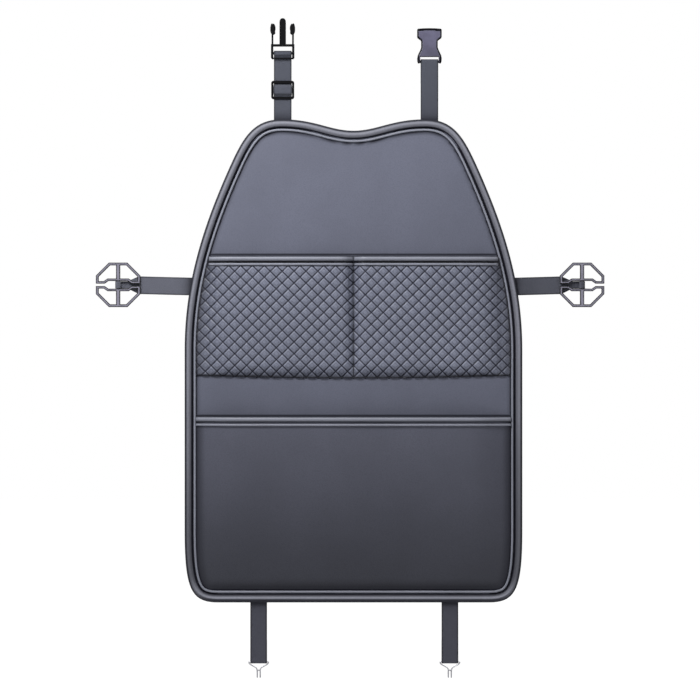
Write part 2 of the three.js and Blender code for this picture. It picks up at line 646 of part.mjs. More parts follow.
function topLeftStrap() {
  const layer = TAIL_DEPTH + WEB + GAP;
  const over = SLIDER_MIDDLE_FRONT + 2 * WEB + 2 * GAP - WEB / 2 + 0.05;
  const low = SLIDER_Z - SLIDER_HEIGHT / 2;
  const high = SLIDER_Z + SLIDER_HEIGHT / 2;
  const path = new THREE.Path();
  path.moveTo(STRAP_DEPTH, PEAK_Z - STRAP_SEWN);
  shift(path, PEAK_Z + 8, low - 4, layer);
  shift(path, low + SLIDER_BAR + 0.2, SLIDER_Z - 3.3, over);
  shift(path, SLIDER_Z + 3.3, high - SLIDER_BAR - 0.2, layer);
  // up to the plug, round its bar and down again
  const start = PLUG_BOTTOM_Z + 0.1;
  const reach = Math.hypot(BUCKLE_BAR_DEPTH - layer, PLUG_BAR_Z - start);
  const angle = Math.atan2(BUCKLE_BAR_DEPTH - layer, PLUG_BAR_Z - start) + Math.asin(BUCKLE_LOOP / reach);
  path.lineTo(layer, start - 3);
  path.quadraticCurveTo(layer, start, layer + 3 * Math.sin(angle), start + 3 * Math.cos(angle));
  path.absarc(BUCKLE_BAR_DEPTH, PLUG_BAR_Z, BUCKLE_LOOP, -angle, Math.PI, false);
  // the end goes round the slider's middle bar
  const tail = BUCKLE_BAR_DEPTH - BUCKLE_LOOP;
  const middle = (SLIDER_BACK + SLIDER_MIDDLE_FRONT) / 2;
  const turn = SLIDER_Z - SLIDER_BAR / 2 - 0.45;
  path.lineTo(tail, turn);
  path.absarc(middle, turn, middle - tail, Math.PI, 2 * Math.PI, false);
  path.lineTo(2 * middle - tail, SLIDER_Z + 1);
  return uprightStrap(path, TOP_LEFT_X, TOP_STRAP_WIDTH);
}

function topRightStrap() {
  const path = new THREE.Path();
  path.moveTo(STRAP_DEPTH, PEAK_Z - STRAP_SEWN);
  shift(path, PEAK_Z + 8, PEAK_Z + 45, BUCKLE_BAR_DEPTH + BUCKLE_LOOP);
  path.lineTo(BUCKLE_BAR_DEPTH + BUCKLE_LOOP, SOCKET_BAR_Z);
  path.absarc(BUCKLE_BAR_DEPTH, SOCKET_BAR_Z, BUCKLE_LOOP, 0, Math.PI, false);
  path.lineTo(BUCKLE_BAR_DEPTH - BUCKLE_LOOP, SOCKET_BAR_Z - TAIL_LENGTH);
  return uprightStrap(path, TOP_RIGHT_X, TOP_STRAP_WIDTH);
}

function bottomStrap(x) {
  const path = new THREE.Path();
  path.moveTo(STRAP_DEPTH, BODY_BOTTOM_Z + STRAP_SEWN);
  shift(path, BODY_BOTTOM_Z - 8, BODY_BOTTOM_Z - 30, HOOK_BAR_DEPTH + HOOK_LOOP);
  path.lineTo(HOOK_BAR_DEPTH + HOOK_LOOP, HOOK_BAR_Z);
  path.absarc(HOOK_BAR_DEPTH, HOOK_BAR_Z, HOOK_LOOP, 0, -Math.PI, true);
  path.lineTo(HOOK_BAR_DEPTH - HOOK_LOOP, HOOK_BAR_Z + TAIL_LENGTH);
  return uprightStrap(path, x, BOTTOM_STRAP_WIDTH);
}

// Runs out behind the anchor, narrows, and goes round the anchor's bar from outside to inside.
function sideStrap(anchorX) {
  const out = Math.abs(anchorX);
  const depth = SIDE_STRAP_BACK + ANCHOR_LOOP;
  const edge = halfWidthAt(SIDE_STRAP_Z, 0);
  const path = new THREE.Path();
  path.moveTo(STRAP_DEPTH, edge - STRAP_SEWN);
  shift(path, edge + 6, edge + 36, SIDE_STRAP_BACK);
  path.lineTo(SIDE_STRAP_BACK, out - TAPER_START);
  path.lineTo(SIDE_STRAP_BACK, out - TAPER_END);
  path.lineTo(SIDE_STRAP_BACK, out);
  path.absarc(depth, out, ANCHOR_LOOP, Math.PI, -0.75 * Math.PI + 0.25, true);
  const flat = path.getPoints(10);
  const side = Math.sign(anchorX);
  const points = flat.map((p) => at(side * p.y, p.x, 0));
  const widths = flat.map((p) => {
    const share = (out - TAPER_END - p.y) / (TAPER_START - TAPER_END);
    return LOOP_WIDTH + (SIDE_STRAP_WIDTH - LOOP_WIDTH) * Math.min(Math.max(share, 0), 1);
  });
  const raise = (p) => SIDE_STRAP_Z + (ANCHOR_Z - SIDE_STRAP_Z) * Math.min(Math.max(
    (Math.abs(p.x) - edge) / (out - TAPER_END - edge), 0), 1);
  const placed = points.map((p) => new THREE.Vector3(p.x, p.y, raise(p)));
  return webbing(placed, new THREE.Vector3(0, 0, 1), widths);
}

// Buckle plug

function plugOutline() {
  const w = PLUG_WIDTH / 2;
  const shape = new THREE.Shape();
  shape.moveTo(-w + 1.5, PLUG_BOTTOM_Z);
  shape.lineTo(w - 1.5, PLUG_BOTTOM_Z);
  shape.lineTo(w, PLUG_BOTTOM_Z + 2);
  shape.lineTo(w, PLUG_TOP_Z);
  armOutline(shape, 1);
  prongOutline(shape);
  armOutline(shape, -1);
  shape.lineTo(-w, PLUG_TOP_Z);
  shape.lineTo(-w, PLUG_BOTTOM_Z + 2);
  const inner = w - PLUG_RAIL;
  const [low, high] = [PLUG_BOTTOM_Z + PLUG_LOW_BAR, PLUG_TOP_Z - PLUG_TOP_BAR];
  shape.holes.push(new THREE.Path([
    new THREE.Vector2(-inner, low), new THREE.Vector2(inner, low),
    new THREE.Vector2(inner, high), new THREE.Vector2(-inner, high),
  ]));
  return shape;
}

// One spring arm with its leaf shaped head: side 1 is drawn on the way in from the right.
function armOutline(shape, side) {
  const stem = ARM_WIDTH / 2;
  const head = ARM_HEAD_WIDTH / 2;
  const rise = ARM_TIP_Z - ARM_HEAD_Z;
  const outer = [[stem, PLUG_TOP_Z], [stem, ARM_HEAD_Z], [head - 1.4, ARM_HEAD_Z + 0.3 * rise],
    [head - 0.6, ARM_HEAD_Z + 0.6 * rise], [1.9, ARM_TIP_Z - 1.2], [0.7, ARM_TIP_Z]];
  const inner = [[0.2, ARM_TIP_Z], [-1.2, ARM_TIP_Z - 3], [-head, ARM_HEAD_Z + 0.38 * rise],
    [-head - 0.4, ARM_HEAD_Z + 1.6], [-head + 1.8, ARM_HEAD_Z - 0.6], [-stem, ARM_HEAD_Z + 0.4],
    [-stem, PLUG_TOP_Z]];
  const points = [...outer, ...inner].map(([x, z]) => [side * (ARM_X + x), z]);
  if (side < 0) {
    points.reverse();
  }
  for (const [x, z] of points) {
    shape.lineTo(x, z);
  }
}

function prongOutline(shape) {
  const w = PRONG_WIDTH / 2;
  shape.lineTo(w, PLUG_TOP_Z);
  shape.lineTo(w, PRONG_TIP_Z - 6);
  shape.quadraticCurveTo(w, PRONG_TIP_Z, 0, PRONG_TIP_Z);
  shape.quadraticCurveTo(-w, PRONG_TIP_Z, -w, PRONG_TIP_Z - 6);
  shape.lineTo(-w, PLUG_TOP_Z);
}

function plug() {
  const inner = PLUG_WIDTH / 2 - PLUG_RAIL;
  const relief = block(-inner, inner, PLUG_BACK - 1, PLUG_FRONT - 2,
    PLUG_BOTTOM_Z - 1, PLUG_BOTTOM_Z + PLUG_LOW_BAR + 0.1);
  const middle = bar(BUCKLE_BAR_RADIUS, 2 * inner + 1, 0, BUCKLE_BAR_DEPTH, PLUG_BAR_Z, 'x', 12);
  const geometry = cutAndJoin(plate(plugOutline(), PLUG_BACK, PLUG_FRONT), [relief], [middle]);
  geometry.translate(TOP_LEFT_X, 0, 0);
  return geometry;
}

// Buckle socket

function socketOutline() {
  const w = SOCKET_WIDTH / 2;
  const waist = SOCKET_WAIST / 2;
  const inner = TOP_STRAP_WIDTH / 2 + 2 * GAP;
  const half = [[inner, SOCKET_SLOT_Z], [inner, SOCKET_BOTTOM_Z + 1.2], [inner + 1.2, SOCKET_BOTTOM_Z],
    [w - 1.2, SOCKET_BOTTOM_Z], [w - 0.2, SOCKET_BOTTOM_Z + 2.5], [w, SOCKET_BOTTOM_Z + 7],
    [w - 0.8, SOCKET_BOTTOM_Z + 11], [waist + 1.2, SOCKET_BOTTOM_Z + 18.5], [waist, SOCKET_BOTTOM_Z + 22],
    [waist, SOCKET_TOP_Z - 18.5], [waist + 0.6, SOCKET_TOP_Z - 16.8], [w - 0.4, SOCKET_TOP_Z - 13.4],
    [w, SOCKET_TOP_Z - 12], [w, SOCKET_TOP_Z - 2], [w - 1, SOCKET_TOP_Z - 0.8], [w / 2, SOCKET_TOP_Z - 0.2]];
  const points = [...half, [0, SOCKET_TOP_Z], ...half.map(([x, z]) => [-x, z]).reverse()];
  return new THREE.Shape(points.map(([x, z]) => new THREE.Vector2(x, z)));
}

function socket() {
  const half = CAVITY_WIDTH / 2;
  const cavity = block(-half, half, SOCKET_BACK + SOCKET_WALL, SOCKET_FRONT - SOCKET_WALL,
    SOCKET_FLOOR_Z, SOCKET_TOP_Z + 2);
  const strapBar = bar(BUCKLE_BAR_RADIUS, TOP_STRAP_WIDTH + 4 * GAP + 1, 0, BUCKLE_BAR_DEPTH,
    SOCKET_BAR_Z, 'x', 12);
  const geometry = cutAndJoin(plate(socketOutline(), SOCKET_BACK, SOCKET_FRONT), [cavity], [strapBar]);
  geometry.translate(TOP_RIGHT_X, 0, 0);
  return geometry;
}

// Strap slider

function roundedFrame(width, height, radius) {
  const [w, h] = [width / 2, height / 2];
  const shape = new THREE.Shape();
  shape.absarc(w - radius, h - radius, radius, 0, Math.PI / 2, false);
  shape.absarc(-w + radius, h - radius, radius, Math.PI / 2, Math.PI, false);
  shape.absarc(-w + radius, -h + radius, radius, Math.PI, 1.5 * Math.PI, false);
  shape.absarc(w - radius, -h + radius, radius, 1.5 * Math.PI, 2 * Math.PI, false);
  return shape;
}

function slider() {
  const inner = SLIDER_WIDTH / 2 - SLIDER_RAIL;
  const window = SLIDER_HEIGHT / 2 - SLIDER_BAR;
  const edge = SLIDER_HEIGHT / 2 + 1;
  const cuts = [
    block(-inner, inner, 0, SLIDER_FRONT + 1, -window, window),
    block(-inner, inner, 0, SLIDER_OUTER_BACK, window - 0.1, edge),
    block(-inner, inner, 0, SLIDER_OUTER_BACK, -edge, -window + 0.1),
  ];
  const middle = block(-inner - 0.5, inner + 0.5, SLIDER_BACK, SLIDER_MIDDLE_FRONT,
    -SLIDER_BAR / 2, SLIDER_BAR / 2);
  const frame = plate(roundedFrame(SLIDER_WIDTH, SLIDER_HEIGHT, 3.4), SLIDER_BACK, SLIDER_FRONT, 4);
  const geometry = cutAndJoin(frame, cuts, [middle]);
  geometry.translate(TOP_LEFT_X, 0, SLIDER_Z);
  return geometry;
}

// Anchors

// One half of an anchor, above the slot for sign 1 and below it for sign -1.
function anchorHalf(sign, back, front) {
  const [a, s, n, w] = [ANCHOR_APOTHEM, ANCHOR_HALF_SIDE, SLOT_NARROW, SLOT_WIDE];
  const [f, e] = [ANCHOR_FRAME, ANCHOR_EDGE];
  const spine = ANCHOR_SPINE / 2;
  const corner = f * Math.tan(Math.PI / 8);
  const outline = [[-a, n], [-SLOT_NARROW_X, n], [-SLOT_WIDE_X, w], [SLOT_WIDE_X, w], [SLOT_NARROW_X, n],
    [a, n], [a, s], [s, a], [-s, a], [-a, s]];
  const hole = [[spine, w + e], [SLOT_WIDE_X + 1.4, w + e], [SLOT_NARROW_X + 1.4, n + e], [a - f, n + e],
    [a - f, s - corner], [s - corner, a - f], [spine, a - f]];
  const flat = (points, side) => new THREE.Shape(
    points.map(([x, z]) => new THREE.Vector2(side * x, sign * z)));
  return cutAndJoin(plate(flat(outline, 1), back, front),
    [plate(flat(hole, 1), back - 1, front + 1), plate(flat(hole, -1), back - 1, front + 1)]);
}

function anchor(x) {
  const middle = SIDE_STRAP_BACK + ANCHOR_LOOP;
  const [back, front] = [middle - ANCHOR_THICK / 2, middle + ANCHOR_THICK / 2];
  const round = bar(ANCHOR_BAR_RADIUS, 2 * SLOT_WIDE + 2, 0, middle, 0, 'z', 12);
  const beyond = 2 * SLOT_WIDE;
  const strapBar = cutAndJoin(round, [
    block(-beyond, beyond, front, front + beyond, -beyond, beyond),
    block(-beyond, beyond, back - beyond, back, -beyond, beyond),
  ]);
  const geometry = cutAndJoin(anchorHalf(1, back, front), [], [anchorHalf(-1, back, front), strapBar]);
  geometry.translate(x, 0, ANCHOR_Z);
  return geometry;
}

// Wire hooks

// One wire: it starts inside the strap's loop, runs out to the side, down to the neck and round
// the hook, and comes back the same way on the other side.
function hookPath() {
  const half = [
    [0.3, HOOK_BAR_DEPTH, HOOK_BAR_Z],
    [HOOK_HALF_WIDTH - 1.6, HOOK_BAR_DEPTH, HOOK_BAR_Z],
    [HOOK_HALF_WIDTH - 0.1, HOOK_BAR_DEPTH, HOOK_BAR_Z - 1.1],
    [HOOK_HALF_WIDTH - 1.6, HOOK_BAR_DEPTH, HOOK_BAR_Z - 3.6],
    [0.57 * HOOK_HALF_WIDTH, HOOK_BAR_DEPTH, HOOK_BAR_Z - 6],
    [HOOK_NECK_X + 1.3, HOOK_BAR_DEPTH, HOOK_NECK_Z + 1.2],
    [HOOK_NECK_X, HOOK_BAR_DEPTH, HOOK_NECK_Z - 1.4],
  ];
  const centre = HOOK_BOTTOM_Z + WIRE_RADIUS + HOOK_BEND;
  for (let k = 0; k <= 6; k += 1) {
    const angle = k * Math.PI / 6;
    half.push([HOOK_NECK_X, HOOK_BAR_DEPTH - HOOK_BEND + HOOK_BEND * Math.cos(angle),
      centre - HOOK_BEND * Math.sin(angle)]);
  }
  const tip = HOOK_BAR_DEPTH - 2 * HOOK_BEND;
  half.push([HOOK_NECK_X, tip, centre + HOOK_TIP_RISE - 1.6]);
  half.push([HOOK_NECK_X * 0.6, tip, centre + HOOK_TIP_RISE - 0.4]);
  const other = half.map(([x, d, z]) => [-x, d, z]).reverse();
  return [...half, ...other].map(([x, d, z]) => at(x, d, z));
}

// The wire's section is carried along its path without twisting.
function wireHook(x) {
  const points = hookPath();
  const turn = new THREE.Vector3(0, 0, 1);
  return loft(points.map((p, i) => {
    const along = new THREE.Vector3().subVectors(
      points[Math.min(i + 1, points.length - 1)], points[Math.max(i - 1, 0)]).normalize();
    turn.addScaledVector(along, -turn.dot(along)).normalize();
    const other = new THREE.Vector3().crossVectors(along, turn);
    return circleSection(WIRE_RADIUS, 8).map(([a, b]) => p.clone()
      .addScaledVector(turn, a).addScaledVector(other, b).add(new THREE.Vector3(x, 0, 0)));
  }));
}

// The whole organizer

const organizer = new THREE.Group();
organizer.add(
  mesh('back_panel', backPanel(), BACKING_LOOK),
  mesh('front_panel', panel(PANEL_INSET, FACE_BACK, FACE_FRONT), LEATHER_LOOK),
  mesh('edge_binding', edgeBinding(), LEATHER_LOOK),
  mesh('edge_piping', edgePiping(), PIPING_LOOK),
  mesh('quilted_pocket', upperPocket(), QUILT_LOOK),
  mesh('quilted_pocket_hem', hem(UPPER_COLUMNS, UPPER_SHARES, UPPER_SHELL, placeUpper), LEATHER_LOOK),
  mesh('quilted_pocket_cord', hemCord(UPPER_COLUMNS, UPPER_SHARES, UPPER_SHELL, placeUpper), PIPING_LOOK),
  mesh('lower_pocket', lowerPocket(), LEATHER_LOOK),
  mesh('lower_pocket_hem', hem(LOWER_COLUMNS, LOWER_SHARES, LOWER_SHELL, placeLower), LEATHER_LOOK),
  mesh('lower_pocket_cord', hemCord(LOWER_COLUMNS, LOWER_SHARES, LOWER_SHELL, placeLower), PIPING_LOOK),
  mesh('strap_top_left', topLeftStrap(), WEBBING_LOOK),
  mesh('strap_top_right', topRightStrap(), WEBBING_LOOK),
  mesh('strap_side_left', sideStrap(ANCHOR_LEFT_X), WEBBING_LOOK),
  mesh('strap_side_right', sideStrap(ANCHOR_RIGHT_X), WEBBING_LOOK),
  mesh('strap_bottom_left', bottomStrap(BOTTOM_LEFT_X), WEBBING_LOOK),
  mesh('strap_bottom_right', bottomStrap(BOTTOM_RIGHT_X), WEBBING_LOOK),
  mesh('strap_slider', slider(), BLACK_LOOK),
  mesh('buckle_plug', plug(), BLACK_LOOK),
  mesh('buckle_socket', socket(), GREY_LOOK),
  mesh('anchor_left', anchor(ANCHOR_LEFT_X), GREY_LOOK),
  mesh('anchor_right', anchor(ANCHOR_RIGHT_X), GREY_LOOK),
  mesh('hook_left', wireHook(BOTTOM_LEFT_X), WIRE_LOOK),
  mesh('hook_right', wireHook(BOTTOM_RIGHT_X), WIRE_LOOK),
);

export default organizer;
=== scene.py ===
# %% [markdown]
# # A seat back organizer in Blender
# The real object is a flat sewn body with a rolled edge, a quilted pocket, a plain lower pocket,
# six straps and some moulded fittings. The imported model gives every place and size. This lesson
# dresses it: soft pieces are modelled again, smooth and full, and hard fittings get rounded edges.

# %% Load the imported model
import math
from functools import lru_cache

import bmesh
import bpy
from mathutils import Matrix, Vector, kdtree, noise
from mathutils.geometry import interpolate_bezier


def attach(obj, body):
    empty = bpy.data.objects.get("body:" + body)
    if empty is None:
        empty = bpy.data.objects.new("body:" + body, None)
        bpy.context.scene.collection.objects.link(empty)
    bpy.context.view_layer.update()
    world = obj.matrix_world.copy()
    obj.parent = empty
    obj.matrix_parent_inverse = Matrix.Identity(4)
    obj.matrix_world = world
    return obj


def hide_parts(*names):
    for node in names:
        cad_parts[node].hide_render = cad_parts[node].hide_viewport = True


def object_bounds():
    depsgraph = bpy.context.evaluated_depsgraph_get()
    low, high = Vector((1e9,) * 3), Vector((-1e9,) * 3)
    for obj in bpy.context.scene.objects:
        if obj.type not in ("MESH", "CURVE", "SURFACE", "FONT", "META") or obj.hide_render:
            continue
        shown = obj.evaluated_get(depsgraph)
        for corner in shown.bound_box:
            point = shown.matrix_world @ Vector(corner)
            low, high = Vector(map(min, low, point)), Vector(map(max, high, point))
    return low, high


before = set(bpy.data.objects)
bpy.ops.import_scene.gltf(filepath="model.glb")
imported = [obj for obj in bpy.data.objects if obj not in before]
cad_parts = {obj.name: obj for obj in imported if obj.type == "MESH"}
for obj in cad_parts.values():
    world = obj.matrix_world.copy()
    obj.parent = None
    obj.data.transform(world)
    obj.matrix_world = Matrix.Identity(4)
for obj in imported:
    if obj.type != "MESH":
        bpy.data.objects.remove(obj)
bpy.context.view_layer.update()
scene = bpy.context.scene
MM = 0.001

# %% [markdown]
# The photograph was taken from straight ahead, from far away, so that parallel edges stay parallel.
# A long lens five metres off does the same. The frame is 700 by 700 pixels and 0.98 m wide.


# %% Camera
def in_scene(name, data):
    obj = bpy.data.objects.new(name, data)
    scene.collection.objects.link(obj)
    return obj


SENSOR, AWAY, SHOWN_WIDTH = 36, 5, 0.98
camera_data = bpy.data.cameras.new("camera")
camera_data.sensor_width = SENSOR
camera_data.lens = SENSOR * AWAY / SHOWN_WIDTH
camera = in_scene("camera", camera_data)
camera.location = (-0.0049, -AWAY - 0.01, 0.0154)
camera.rotation_euler = (math.radians(90), 0, 0)
scene.camera = camera
scene.view_settings.view_transform = "Standard"
print("lens:", round(camera_data.lens, 1), "mm")

# %% [markdown]
# Shader maths reads best as plain arithmetic. A Value wraps one output of a node, and each operator
# adds the Math node it stands for. The Shader has one method that makes any other node.


# %% Shader helpers
def linear(*rgb):
    """A colour in the screen's values of 0 to 255, as the linear numbers that a shader needs."""
    part = [c / 255 for c in rgb]
    return [c / 12.92 if c <= 0.04045 else ((c + 0.055) / 1.055) ** 2.4 for c in part] + [1.0]


def tinted(colour, factor):
    return [min(c * factor, 1) for c in colour[:3]] + [1]


class Value:
    def __init__(self, shader, socket):
        self.shader, self.socket = shader, socket

    def math(self, operation, other=0.0, flip=False):
        first, second = (other, self) if flip else (self, other)
        return self.shader.node("ShaderNodeMath", {"operation": operation}, {0: first, 1: second})

    def __add__(self, other): return self.math("ADD", other)
    def __radd__(self, other): return self.math("ADD", other, True)
    def __sub__(self, other): return self.math("SUBTRACT", other)
    def __rsub__(self, other): return self.math("SUBTRACT", other, True)
    def __mul__(self, other): return self.math("MULTIPLY", other)
    def __abs__(self): return self.math("ABSOLUTE")


class Shader:
    def __init__(self, name, tree=None):
        """Starts a new material with no nodes, unless a tree is given to add nodes to."""
        if tree is None:
            self.material = bpy.data.materials.new(name)
            self.material.use_nodes = True
            tree = self.material.node_tree
            tree.nodes.clear()
        self.tree = tree

    def node(self, kind, settings=None, inputs=None, output=0):
        made = self.tree.nodes.new(kind)
        for key, value in (settings or {}).items():
            setattr(made, key, value)
        for key, value in (inputs or {}).items():
            if isinstance(value, Value):
                self.tree.links.new(value.socket, made.inputs[key])
            else:
                made.inputs[key].default_value = value
        return Value(self, made.outputs[output])

    def place(self, scale=(1, 1, 1)):
        """Object coordinates, so that a pattern keeps its size on every piece."""
        spot = self.node("ShaderNodeTexCoord", output="Object")
        return self.node("ShaderNodeMapping", {}, {"Vector": spot, "Scale": scale})

    def part(self, vector, axis):
        return self.node("ShaderNodeSeparateXYZ", {}, {"Vector": vector}, axis)

    def own_map(self):
        """The two numbers of the piece's own map: across and along."""
        spot = self.node("ShaderNodeUVMap", {"uv_map": "UVMap"})
        return self.part(spot, "X"), self.part(spot, "Y")

    def seam(self):
        """The piece's own attribute of painted shade: 1 where the surface lies in a groove or turns
        into shadow.
        """
        depth = self.node("ShaderNodeAttribute", {"attribute_name": "seam"}, {}, "Fac")
        return depth.math("MINIMUM", 1.0)

    def noise(self, where, scale, detail=3.0, rough=0.55):
        return self.node("ShaderNodeTexNoise", {}, {
            "Vector": where, "Scale": scale, "Detail": detail, "Roughness": rough})

    def cells(self, where, scale):
        return self.node("ShaderNodeTexVoronoi", {}, {"Vector": where, "Scale": scale}, "Distance")

    def clamp(self, value, low, high, start=0.0, end=1.0):
        """start below low, end above high and smooth between them."""
        return self.node("ShaderNodeMapRange", {"interpolation_type": "SMOOTHSTEP"}, {
            "Value": value, "From Min": low, "From Max": high, "To Min": start, "To Max": end})

    def mix(self, share, first, second):
        return self.node("ShaderNodeMix", {"data_type": "RGBA"}, {0: share, 6: first, 7: second}, 2)

    def two_tone(self, share, colour, dark, light):
        return self.mix(share, tinted(colour, dark), tinted(colour, light))

    def bump(self, height, distance, strength=1.0, under=None):
        inputs = {"Height": height, "Distance": distance, "Strength": strength}
        if under is not None:
            inputs["Normal"] = under
        return self.node("ShaderNodeBump", {}, inputs)

    def grained(self, where, colour, scale, broad, share, depth=1.0):
        """Leather grain: its cells, a tone that they darken, and a normal with their furrows."""
        cell = self.cells(where, scale)
        tone = self.two_tone(self.clamp(self.noise(where, broad, 4), 0.3, 0.7), colour, 0.93, 1.07)
        tone = self.mix(self.clamp(cell, 0.35, 0.75) * share, tone, tinted(colour, 0.72))
        height = (1 - cell) * 0.8 + self.noise(where, 2600, 2) * 0.2
        return cell, tone, self.bump(height, 0.00012 * depth, 0.7)

    def show(self, surface):
        end = self.tree.nodes.new("ShaderNodeOutputMaterial")
        self.tree.links.new(surface.socket, end.inputs["Surface"])
        return self.material

    def finish(self, **sockets):
        names = {key.replace("_", " "): value for key, value in sockets.items()}
        return self.show(self.node("ShaderNodeBsdfPrincipled", {}, names))


print("shader helpers ready")

# %% [markdown]
# Most of the body is soft coated leather. Its grain is small flat cells with fine furrows between
# them, so a cell pattern gives the bump. Broad noise changes the colour a little. An attribute of
# painted shade, which each piece carries, darkens the leather where it turns down into a seam and
# where it turns into shadow.


# %% Leather
# The first colour is the painted shade that each piece's attribute mixes in.
PAINTED_SHADE_TONE, BLACK = linear(10, 11, 24), (0, 0, 0, 1)
# Painted light and shade by height: two heights in metres, and how much of the colour is left at
# each. The leathers darken lower down, as the light falls off. The roll keeps its full colour along
# its foot, a painted highlight, and is lighter towards the top.
PAINTED_FALLOFF, POCKET_PAINTED_FALLOFF, EVEN = (-0.34, 0.1, 0.7, 1.0), (-0.37, 0.0, 0.24, 0.82), (-0.4, 0.4, 0.95, 1.0)
ROLL_PAINTED_FOOT_HIGHLIGHT, ROLL_PAINTED_FALLOFF = (-0.336, -0.3, 1.0, 0.315), (-0.25, 0.02, 0.7, 1.38)


def leather(name, colour, roughness, grain=1.0, wrinkle=0.0, shine=0.3, foot=PAINTED_FALLOFF,
            sides=None, shadow_lines=()):
    s = Shader(name)
    where = s.place()
    cell, tone, normal = s.grained(where, colour, 720, 9, 0.35, grain)
    height = s.part(where, "Z")
    # share paints light and shade by height.
    share = s.clamp(height, *foot)
    if sides:
        share = share * s.clamp(height, *sides)
    tone = s.mix(share, BLACK, tone)
    # depth is painted shade: the piece's attribute and the hems' shadow lines.
    depth = s.seam()
    for line in shadow_lines:
        depth = depth.math("MAXIMUM", s.clamp(abs(height - line), 0.0004, 0.0026, 0.88, 0.0))
    tone = s.mix(depth, tone, PAINTED_SHADE_TONE)
    if wrinkle:
        waves = s.noise(s.place(scale=(1, 1, 0.6)), 60, 3)
        normal = s.bump(waves, 0.0012 * wrinkle, 0.8, normal)
    patch = s.noise(where, 46, 3)
    gloss = roughness + (patch - 0.5) * 0.12 + cell * 0.08 + depth * 0.25
    return s.finish(Base_Color=tone, Roughness=gloss, Specular_IOR_Level=shine, Normal=normal)


# Both pockets' hems throw a thin shadow line on the face, at these heights.
leather_face = leather("leather", linear(101, 104, 120), 0.52, shadow_lines=(0.149, -0.0766))
# The roll, hem and bead are lighter copies of the face's leather: a painted highlight on their
# round crowns. The pocket's copy takes a deeper painted falloff lower down.
leather_roll = leather("rolled leather", linear(198, 200, 216), 0.4, 1.0, 0.4, 0.25,
                       ROLL_PAINTED_FOOT_HIGHLIGHT, ROLL_PAINTED_FALLOFF)
leather_hem = leather("hem leather", linear(146, 149, 162), 0.36, 1.0, 0.2, 0.35, EVEN)
leather_bead = leather("bead leather", linear(140, 143, 156), 0.36, 0.5, 0.0, 0.35, EVEN)
leather_pocket = leather("pocket leather", linear(99, 101, 116), 0.5, foot=POCKET_PAINTED_FALLOFF)
print("leathers:", [m.name for m in bpy.data.materials if "leather" in m.name])

# %% [markdown]
# The quilted leather carries its own map: one unit across and one along for each diamond. The
# stitching runs where either number is whole. A dashed mask near those lines is the thread, and a
# wider one paints shade into the furrow it is pulled down into.


# %% Quilted leather
def quilted_leather():
    s = Shader("quilted leather")
    where = s.place()
    across, along = s.own_map()
    from_u = abs((across + 0.5).math("FRACT") - 0.5)
    from_v = abs((along + 0.5).math("FRACT") - 0.5)
    nearest = from_u.math("MINIMUM", from_v)
    furrow = s.clamp(nearest, 0.03, 0.12, 1.0, 0.0)
    crease = s.clamp(abs(nearest - 0.29), 0.015, 0.05, 1.0, 0.0)

    def dashes(distance, run):
        """Four stitches for each diamond, on a line that is this distance away."""
        dash = abs((run * 4).math("FRACT") - 0.5)
        return s.clamp(distance, 0.018, 0.034, 1.0, 0.0) * s.clamp(dash, 0.36, 0.42, 1.0, 0.0)

    thread = dashes(from_u, along).math("MAXIMUM", dashes(from_v, across))
    cell, tone, normal = s.grained(where, linear(122, 126, 143), 760, 11, 0.3)
    tone = s.mix(crease * 0.4, tone, linear(58, 60, 78))
    # Painted shade in the furrows.
    tone = s.mix(furrow * 0.97, tone, linear(16, 18, 38))
    tone = s.mix(thread * 0.5, tone, linear(50, 51, 64))
    # Painted shade where the attribute marks it: the edges, the foot and the middle stitching.
    tone = s.mix(s.seam(), tone, PAINTED_SHADE_TONE)
    normal = s.bump(thread - crease * 0.5, 0.0004, 0.8, normal)
    return s.finish(Base_Color=tone, Roughness=0.44 + cell * 0.08 + thread * 0.2,
                    Specular_IOR_Level=0.35, Normal=normal)


quilt_leather = quilted_leather()
print("quilted leather:", len(quilt_leather.node_tree.nodes), "nodes")

# %% [markdown]
# Webbing is a flat weave. The warp threads run along the strap and the weft crosses them, so the
# strap's own map, in millimetres across and along, carries two crossing waves. The webbing is
# darker near both edges. The back of the body is a dark needled felt.


# %% Webbing and felt
WARP, WEFT = 0.85, 0.55


def webbing_weave(name, colour, width):
    s = Shader(name)
    across, along = s.own_map()
    rib = (across * (math.pi / WARP)).math("SINE")
    cross = (along * (math.pi / WEFT) + rib * 1.2).math("SINE")
    weave = abs(rib) * 0.55 + abs(cross) * 0.45
    selvage = s.clamp(width / 2 - abs(across), 0.9, 2.6, 1.0, 0.0)
    fuzz = s.noise(s.place(), 900, 3)
    broad = s.noise(s.place(), 40, 3)
    dark = tinted(colour, 0.55)
    tone = s.mix(s.clamp(weave * 0.8 + fuzz * 0.4, 0.35, 1.0), dark, tinted(colour, 1.22))
    tone = s.mix(selvage * 0.8, tone, tinted(dark, 0.45))
    tone = s.mix(s.clamp(broad, 0.35, 0.75) * 0.25, tone, colour)
    # Painted shade where the piece's attribute marks it: under bars and behind the body's edge.
    tone = s.mix(s.seam() * 0.8, tone, PAINTED_SHADE_TONE)
    normal = s.bump(fuzz, 0.0001, 0.5, s.bump(weave, 0.0003, 0.7))
    return s.finish(Base_Color=tone, Roughness=0.72 + fuzz * 0.2, Specular_IOR_Level=0.3,
                    Sheen_Weight=0.15, Normal=normal)


